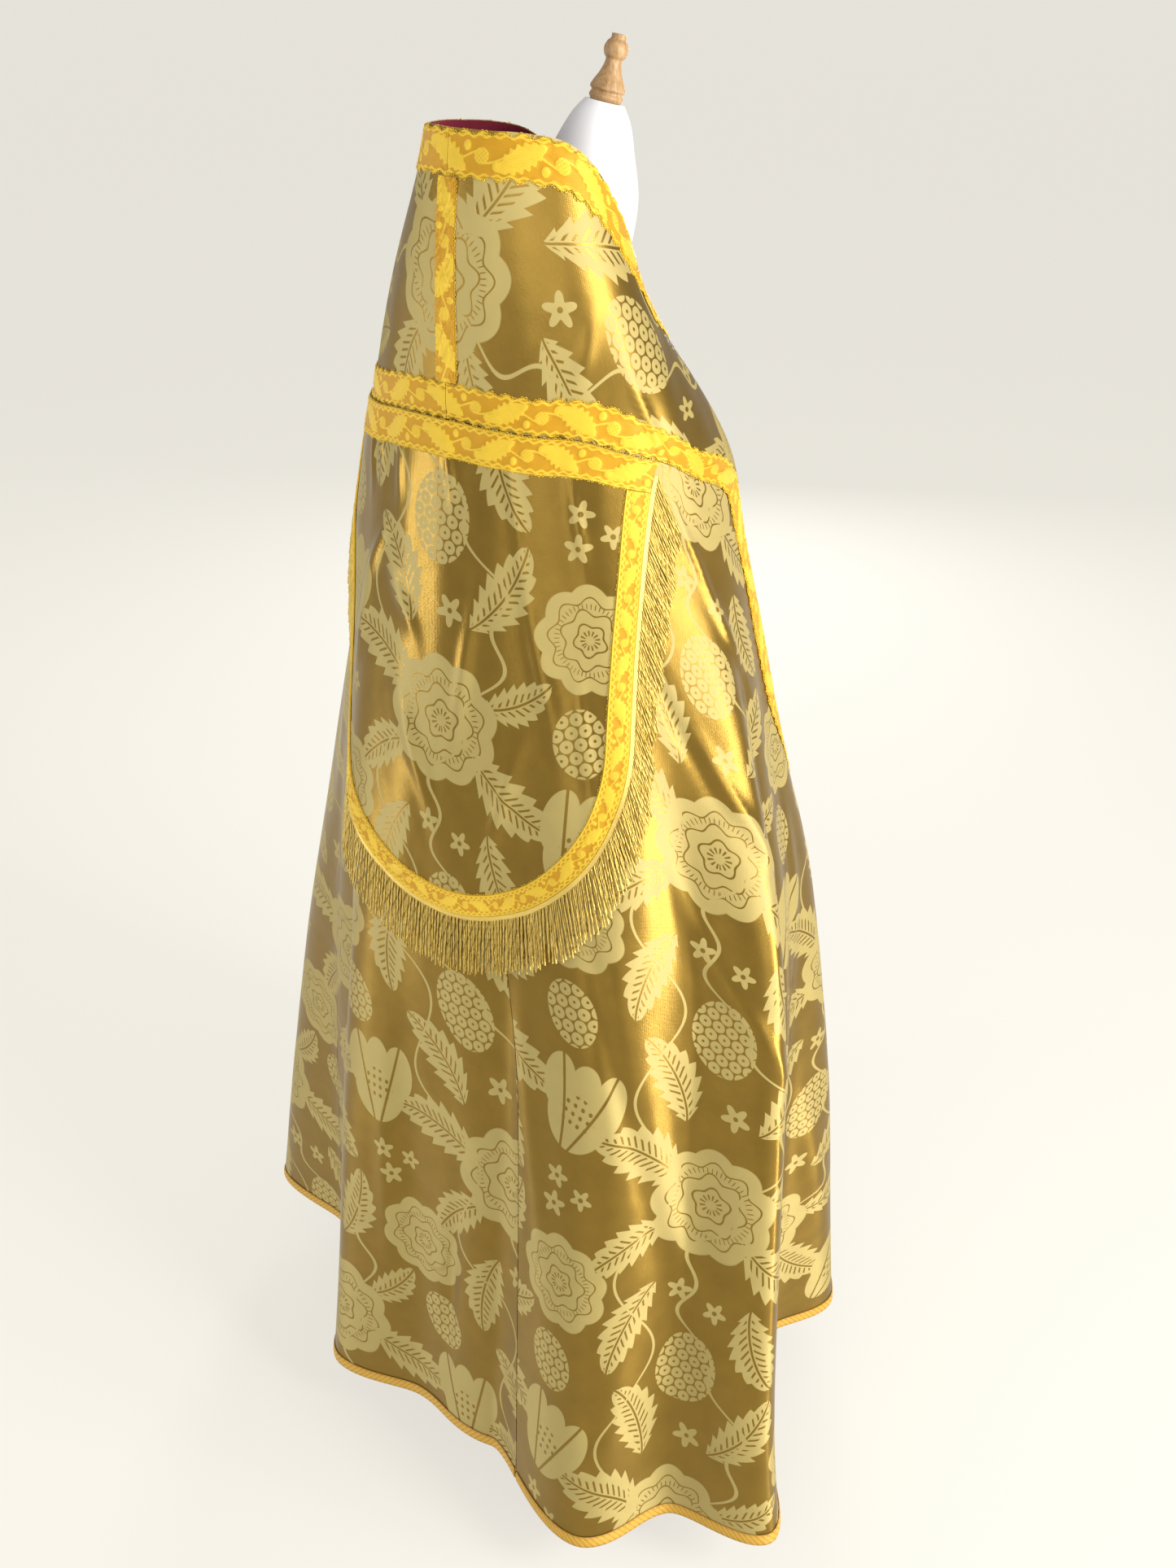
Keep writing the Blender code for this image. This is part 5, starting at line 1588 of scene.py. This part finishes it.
@dataclass
class Cope:
    """All the cloth pieces, in the order in which they are sewn."""

    trim: Trim = field(default_factory=Trim)

    def build(self) -> None:
        """Make and dress every piece of the cope."""
        damask = DAMASK.build("gold damask")
        crimson = LINING.build("crimson lining", 0.0009)
        wide = GALLOON.build("wide galloon", NECK_GALLOON, 1.0)
        middle = GALLOON.build("orphrey galloon", ORPHREY_GALLOON, 0.86)
        narrow = GALLOON.build("narrow galloon", HOOD_GALLOON, 0.62)
        braid = BRAID.build("hem braid", HEM_BRAID, 1.0, braid_relief)
        self.loops = loop_tree(middle)
        half = CLOTH / 2
        orphreys = {}
        for side in (RIGHT, LEFT):
            body = Body(side)
            panel = body.panel()
            cloth = stand_for(cloth_wall("cloth_body_" + side.name, panel, -half, half, damask, crimson),
                              Weave.DAMASK, "body_" + side.name)
            hem = self.trim.band("braid_hem_" + side.name, Weave.BRAID, body.braid(panel), HEM_BRAID,
                                 1.0, braid, braid_relief)
            orphrey = Orphrey(side)
            plain = orphrey.panel()
            orphreys[side.name] = plain
            piece = stand_for(cloth_wall("cloth_orphrey_" + side.name, plain, -half, half, damask,
                                         crimson), Weave.DAMASK, "orphrey_" + side.name)
            front = self.band("galloon_front_" + side.name, orphrey.strip(NECK_GALLOON, False),
                              NECK_GALLOON, 1.0, wide)
            outer = self.band("galloon_orphrey_" + side.name, orphrey.strip(ORPHREY_GALLOON, True),
                              ORPHREY_GALLOON, 0.86, middle)
            front + outer
        self.build_neck(orphreys, crimson)
        self.build_strip(middle)
        self.build_clasp(damask)
        self.build_hood(damask, crimson, middle, narrow)

    def band(self, name: str, sheet: Sheet, width: float, scale: float,
             material: bpy.types.Material) -> list[bpy.types.Object]:
        """A galloon and the loops along its edges."""
        piece = self.trim.band(name, Weave.GALLOON, sheet, width, scale, material)
        lift = CLOTH / 2 + SEAM + self.trim.base * 0.6
        return [piece, self.trim.loops(name, sheet, self.loops, lift)]

    def build_neck(self, orphreys: dict[str, Sheet], crimson: bpy.types.Material) -> None:
        """The lining where it shows inside the neck edge."""
        shares = np.linspace(-1.0, 1.0, 241) * NECK_LINING_SHARE
        columns = np.linspace(0.0, 1.0, 9)
        parts = []
        for side, kept in ((LEFT, shares[shares < 0.0]), (RIGHT, shares[shares >= 0.0])):
            orphrey = Orphrey(side)
            inner, outer, width = orphrey.edges(np.abs(kept))
            across = (TRIM_INSET + (NECK_GALLOON - TRIM_INSET) * columns[None, :]) / width[:, None]
            angle = mix(inner[0][:, None], outer[0][:, None], across)
            drop = mix(inner[1][:, None], outer[1][:, None], across)
            cloth = np.stack(np.broadcast_arrays(kept[:, None], columns[None, :] * 0.04), axis=-1)
            parts.append(Sheet.worn(angle, drop, 0.0, cloth))
        sheet = joined(parts)
        high = -CLOTH / 2 - SEAM
        piece = stand_for(cloth_wall("cloth_lining_neck", sheet, high - LINING_THICKNESS, high, crimson),
                          Weave.LINING, "lining_neck")

    def build_strip(self, material: bpy.types.Material) -> None:
        """The galloon over the orphrey's seam at the centre back."""
        columns, count = STRIP_COLUMNS, 110
        inner_angle = WORN.back_seam(0.0)
        outer_drop = float(WORN.edge_drop(WORN.back_seam(TOP_DROP)))
        length = outer_drop * FALL_LENGTH
        share = np.linspace(NECK_GALLOON / length, 1.0 - ORPHREY_GALLOON / length, count)[:, None]
        across = np.linspace(-0.5, 0.5, columns)[None, :] * BACK_STRIP
        drop = outer_drop * share + 0.0 * across
        middle = mix(inner_angle, WORN.back_seam(TOP_DROP), share)
        angle = WORN.walk_round(middle + 0.0 * across, drop, -across)
        cloth = np.stack(np.broadcast_arrays(share * length, across), axis=-1)
        sheet = Sheet.worn(angle, drop, 0.0, cloth)
        self.band("galloon_back_strip", sheet, BACK_STRIP, 0.7, material)

    def build_clasp(self, material: bpy.types.Material) -> None:
        """The cloth band that joins the two fronts on the chest."""
        drops = np.linspace(CLASP_TOP, CLASP_FOOT, 26)
        shares = STRAIGHT_TURN + (1.0 - STRAIGHT_TURN) * drops ** (1.0 / STRAIGHT_SPREAD)
        knots, facing = [], []
        for side, insets in ((RIGHT, (NECK_GALLOON, 0.0)), (LEFT, (0.0, NECK_GALLOON))):
            inner, outer, width = Orphrey(side).edges(shares)
            for inset in insets:
                angle = mix(inner[0], outer[0], inset / width)
                drop = mix(inner[1], outer[1], inset / width)
                knots.append(WORN.points(angle, drop))
                facing.append(WORN.outward(angle, drop))
        points = self.spanned(np.stack(knots, axis=1))
        normals = unit(self.spanned(np.stack(facing, axis=1)))
        across = np.linspace(-0.5, 0.5, points.shape[1])[None, :] * CLASP_CUT.width
        cloth = np.stack(np.broadcast_arrays(across, ((drops - CLASP_TOP) * FALL_LENGTH)[:, None]),
                         axis=-1)
        sheet = Sheet(points, normals, cloth)
        low = CLOTH / 2 + SEAM + self.trim.base + self.trim.raise_by + CLASP_CLEAR
        piece = stand_for(cloth_wall("cloth_clasp_band", sheet, low, low + CLASP_THICKNESS, material),
                          Weave.DAMASK, "clasp_band")

    def spanned(self, knots: np.ndarray) -> np.ndarray:
        """Rows of four knots filled to a fine grid, its corners eased."""
        place = np.linspace(0.0, 3.0, 61)
        index = np.clip(place.astype(int), 0, 2)
        share = (place - index)[None, :, None]
        rows = mix(knots[:, index], knots[:, index + 1], share)
        for _ in range(6):
            rows[:, 1:-1] = (rows[:, :-2] + 2.0 * rows[:, 1:-1] + rows[:, 2:]) / 4.0
        return rows

    def build_hood(self, damask: bpy.types.Material, crimson: bpy.types.Material,
                   middle: bpy.types.Material, narrow: bpy.types.Material) -> None:
        """The hood, its galloons, the fringe's head and its strands."""
        hood = Hood()
        half = CLOTH / 2
        cloth = stand_for(cloth_wall("cloth_hood", hood.panel(), -half, half, damask, crimson),
                          Weave.DAMASK, "hood")
        top = self.band("galloon_hood_top", hood.top(), ORPHREY_GALLOON, 0.86, middle)
        edge = self.band("galloon_hood_edge", hood.rim(620, HOOD_GALLOON), HOOD_GALLOON, 0.62, narrow)
        gold = FRINGE.build("gold fringe", 0.0007)
        roots, ways, head = hood.fringe_roots()
        strands = strand_tree(gold).grow("fringe_strands", roots, ways, {"Twist": 0.85})
        stand_for(strands, Weave.FRINGE, "fringe_hood")
        strip = stand_for(cloth_wall("fringe_head", head, -0.0008, 0.0008, gold), Weave.FRINGE)
        top + edge + [strands, strip]


@dataclass(frozen=True)
class Cut:
    """A flat cut: the width and length that it takes from the bolt, and its area."""

    width: float
    length: float
    area: float | None = None


CLASP_CUT = Cut(0.14, 0.074)


@dataclass
class DressForm:
    """The limbless torso, its wood knob and the stand."""

    columns: int = 96
    rings: int = 110
    turned_columns: int = 56

    def inside_cloth(self, points: np.ndarray, gaps: np.ndarray) -> np.ndarray:
        """The points, drawn in where they would reach the cloth over them."""
        angle = np.degrees(np.arctan2(-points[:, 0], points[:, 1]))
        top = WORN.neck_height(WORN.on_neck_table(angle))
        drop = np.clip((top - points[:, 2]) / (top - HEM_HEIGHT), 0.0, 1.0)
        spot = WORN.points(angle, drop)
        normal = WORN.outward(angle, drop)
        slope = np.maximum(np.hypot(normal[:, 0], normal[:, 1]), 0.3)
        limit = np.hypot(spot[:, 0], spot[:, 1]) - (CLOTH / 2 + gaps + 0.0012) / slope
        away = np.hypot(points[:, 0], points[:, 1])
        share = np.where(drop < 0.01, 1.0, np.minimum(limit / np.maximum(away, 1e-6), 1.0))
        points = points.copy()
        points[:, :2] *= share[:, None]
        return points

    def torso(self) -> bpy.types.Object:
        """The torso and neck as one smooth closed piece."""
        heights = np.array([row.height for row in FORM_RINGS])
        level = np.unique(np.concatenate([np.linspace(heights[0], heights[-1], self.rings), heights]))
        table = {name: Curve(FORM_RINGS, "height", name)(level)
                 for name in ("ahead", "depth", "width", "tilt", "gap")}
        turn = np.radians(FORM_FACING)
        ahead = np.array([-math.sin(turn), math.cos(turn), 0.0])
        across = np.array([math.cos(turn), math.sin(turn), 0.0])
        around = np.linspace(0.0, 2.0 * np.pi, self.columns, endpoint=False)
        points = []
        for i, height in enumerate(level):
            lean = math.radians(table["tilt"][i])
            forward = ahead * math.cos(lean) - np.array([0.0, 0.0, math.sin(lean)])
            centre = ahead * table["ahead"][i] + np.array([0.0, 0.0, height])
            ring = (centre + np.cos(around)[:, None] * forward * table["depth"][i]
                    + np.sin(around)[:, None] * across * table["width"][i])
            points.append(self.inside_cloth(ring, np.full(self.columns, table["gap"][i])))
        return self.closed("torso_form", np.concatenate(points), len(level), self.columns,
                           JERSEY.build("white jersey", 0.0011), Weave.JERSEY, "dress_form")

    def closed(self, name: str, points: np.ndarray, rows: int, columns: int,
               material: bpy.types.Material, slot: Weave, node: str) -> bpy.types.Object:
        """A closed stack of rings with fans over both ends."""
        start = np.arange(rows - 1)[:, None] * columns + np.arange(columns)[None, :]
        after = np.arange(rows - 1)[:, None] * columns + (np.arange(columns)[None, :] + 1) % columns
        quads = np.stack([start, after, after + columns, start + columns], axis=-1).reshape(-1, 4)
        faces = quads.tolist()
        foot, head = len(points), len(points) + 1
        ends = np.stack([points[:columns].mean(axis=0), points[-columns:].mean(axis=0)])
        points = np.concatenate([points, ends])
        last = (rows - 1) * columns
        for j in range(columns):
            k = (j + 1) % columns
            faces.append((foot, k, j))
            faces.append((head, last + j, last + k))
        mesh = bpy.data.meshes.new(name)
        mesh.from_pydata(points.tolist(), [], faces)
        mesh.materials.append(material)
        mesh.shade_smooth()
        mesh.set_sharp_from_angle(angle=math.radians(50.0))
        thing = bpy.data.objects.new(name, mesh)
        bpy.context.scene.collection.objects.link(thing)
        low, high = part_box(node)
        LOG.info("%s stands for %s, %.3f to %.3f m high", name, node, low.z, high.z)
        return stand_for(thing, slot, node)

    def turned(self, name: str, node: str, profile: Sequence[tuple[float, float]], foot: Vector,
               axis: Vector, material: bpy.types.Material, slot: Weave) -> bpy.types.Object:
        """A lathe-turned piece about an axis through its foot."""
        beside = Vector((0.0, 1.0, 0.0))
        across = axis.cross(beside).normalized()
        other = axis.cross(across)
        around = np.linspace(0.0, 2.0 * np.pi, self.turned_columns, endpoint=False)
        points = []
        for along, radius in profile:
            centre = np.array(foot + axis * along)
            points.append(centre + radius * (np.cos(around)[:, None] * np.array(across)
                                             + np.sin(around)[:, None] * np.array(other)))
        return self.closed(name, np.concatenate(points), len(profile), self.turned_columns, material,
                           slot, node)

    def build(self) -> None:
        """Make the torso, the knob, the pole and the foot."""
        self.torso()
        turn = math.radians(FORM_FACING)
        ahead = Vector((-math.sin(turn), math.cos(turn), 0.0))
        lean = math.radians(NECK_LEAN)
        axis = ahead * math.sin(lean) + Vector((0.0, 0.0, math.cos(lean)))
        last = FORM_RINGS[-1]
        foot = ahead * last.ahead + Vector((0.0, 0.0, last.height)) + axis * SEAM
        curve = Curve(KNOB_PROFILE, "along", "radius")
        level = np.linspace(0.0, KNOB_PROFILE[-1].along, 90)
        profile = [(float(at), float(curve(at))) for at in level]
        profile.append((KNOB_PROFILE[-1].along + 0.0004, KNOB_PROFILE[-1].radius - 0.0008))
        self.turned("turned_knob", "neck_knob", profile, foot, axis, WOOD.build("oiled oak"), Weave.WOOD)
        steel = STEEL.build("painted steel", 0.004)
        upright = Vector((0.0, 0.0, 1.0))
        ground = Vector((0.0, 0.0, 0.0))
        pole = [(POLE_FOOT, POLE_RADIUS), (POLE_TOP, POLE_RADIUS)]
        self.turned("stand_tube", "stand_pole", pole, ground, upright, steel, Weave.STEEL)
        plate = [(0.0, BASE_RADIUS - 0.001), (0.001, BASE_RADIUS)]
        for i in range(9):
            bend = math.pi / 2 * i / 8
            plate.append((BASE_THICKNESS - BASE_EDGE * (1.0 - math.sin(bend)),
                          BASE_RADIUS - BASE_EDGE * (1.0 - math.cos(bend))))
        self.turned("stand_plate", "stand_base", plate, ground, upright, steel, Weave.STEEL)


@dataclass
class Studio:
    """Floor, light and the camera at the photograph's angle."""

    facing: float = 30.0
    distance: float = 1.65
    aside: float = 0.030
    height: float = 1.78
    pitch: float = 30.0
    focal_pixels: float = 2000.0
    image_height: float = 1927.0
    sensor: float = 36.0

    def build(self) -> None:
        """Make the floor, the world, the lights and the camera."""
        scene = bpy.context.scene
        scene.view_settings.view_transform = "Standard"
        self.floor()
        world = bpy.data.worlds.new("studio")
        world.use_nodes = True
        back = world.node_tree.nodes["Background"]
        back.inputs["Color"].default_value = (0.900, 0.885, 0.850, 1.0)
        back.inputs["Strength"].default_value = 0.48
        scene.world = world
        self.lamp("key", (-2.9, 0.5, 2.6), (1.0, 1.0), 80.0, (1.0, 0.97, 0.91))
        self.lamp("right strip", (-2.5, -0.1, 0.8), (0.45, 2.2), 62.0, (1.0, 0.98, 0.94))
        self.lamp("left strip", (2.3, 1.9, 0.9), (0.35, 2.2), 26.0, (0.98, 0.99, 1.0))
        self.lamp("fill", (-0.6, 2.6, 2.2), (1.5, 1.5), 22.0, (1.0, 0.99, 0.97))
        self.lamp("front", (1.2, -2.8, 1.6), (0.8, 1.8), 52.0, (1.0, 0.98, 0.95))
        self.camera()

    def floor(self) -> None:
        """A plain pale floor."""
        reach, level = 60.0, -0.0004
        mesh = bpy.data.meshes.new("floor")
        corners = [(-reach, -reach, level), (reach, -reach, level), (reach, reach, level),
                   (-reach, reach, level)]
        mesh.from_pydata(corners, [], [(0, 1, 2, 3)])
        material = bpy.data.materials.new("pale floor")
        material.use_nodes = True
        shader = material.node_tree.nodes["Principled BSDF"]
        shader.inputs["Base Color"].default_value = (0.22, 0.215, 0.20, 1.0)
        shader.inputs["Emission Color"].default_value = (0.96, 0.93, 0.85, 1.0)
        shader.inputs["Emission Strength"].default_value = 0.70
        shader.inputs["Roughness"].default_value = 0.95
        mesh.materials.append(material)
        floor = bpy.data.objects.new("floor", mesh)
        bpy.context.scene.collection.objects.link(floor)

    def lamp(self, name: str, place: tuple, size: tuple, power: float, colour: tuple) -> None:
        """A soft light, wide and high, that looks at the cope's middle."""
        data = bpy.data.lights.new(name, "AREA")
        data.shape = "RECTANGLE"
        data.size, data.size_y = size
        data.energy = power
        data.color = colour
        lamp = bpy.data.objects.new(name, data)
        lamp.location = place
        aim = Vector((0.0, 0.0, 0.9)) - Vector(place)
        lamp.rotation_euler = aim.to_track_quat("-Z", "Y").to_euler()
        bpy.context.scene.collection.objects.link(lamp)

    def camera(self) -> None:
        """The camera: its place and tilt come from the outline in the photograph."""
        turn = math.radians(self.facing)
        back = Vector((-math.sin(turn), math.cos(turn), 0.0))
        right = Vector((-math.cos(turn), -math.sin(turn), 0.0))
        down = math.radians(self.pitch)
        forward = -back * math.cos(down) - Vector((0.0, 0.0, 1.0)) * math.sin(down)
        up = -back * math.sin(down) + Vector((0.0, 0.0, 1.0)) * math.cos(down)
        data = bpy.data.cameras.new("camera")
        data.sensor_fit = "AUTO"
        data.sensor_width = self.sensor
        data.lens = self.focal_pixels / self.image_height * self.sensor
        data.clip_end = 200.0
        camera = bpy.data.objects.new("camera", data)
        turned = Matrix((right, up, -forward)).transposed()
        place = back * self.distance + right * self.aside + Vector((0.0, 0.0, self.height))
        camera.matrix_world = Matrix.Translation(place) @ turned.to_4x4()
        bpy.context.scene.collection.objects.link(camera)
        bpy.context.scene.camera = camera


def main() -> None:
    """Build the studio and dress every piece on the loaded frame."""
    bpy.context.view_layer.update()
    Studio().build()
    DressForm().build()
    Cope().build()


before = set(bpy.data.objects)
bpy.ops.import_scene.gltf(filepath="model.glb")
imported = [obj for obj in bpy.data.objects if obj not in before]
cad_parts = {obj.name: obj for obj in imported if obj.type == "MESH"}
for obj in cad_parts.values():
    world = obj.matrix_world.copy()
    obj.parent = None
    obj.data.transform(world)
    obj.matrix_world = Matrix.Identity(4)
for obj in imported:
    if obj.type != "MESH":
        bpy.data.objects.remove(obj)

if __name__ == "__main__":
    main()
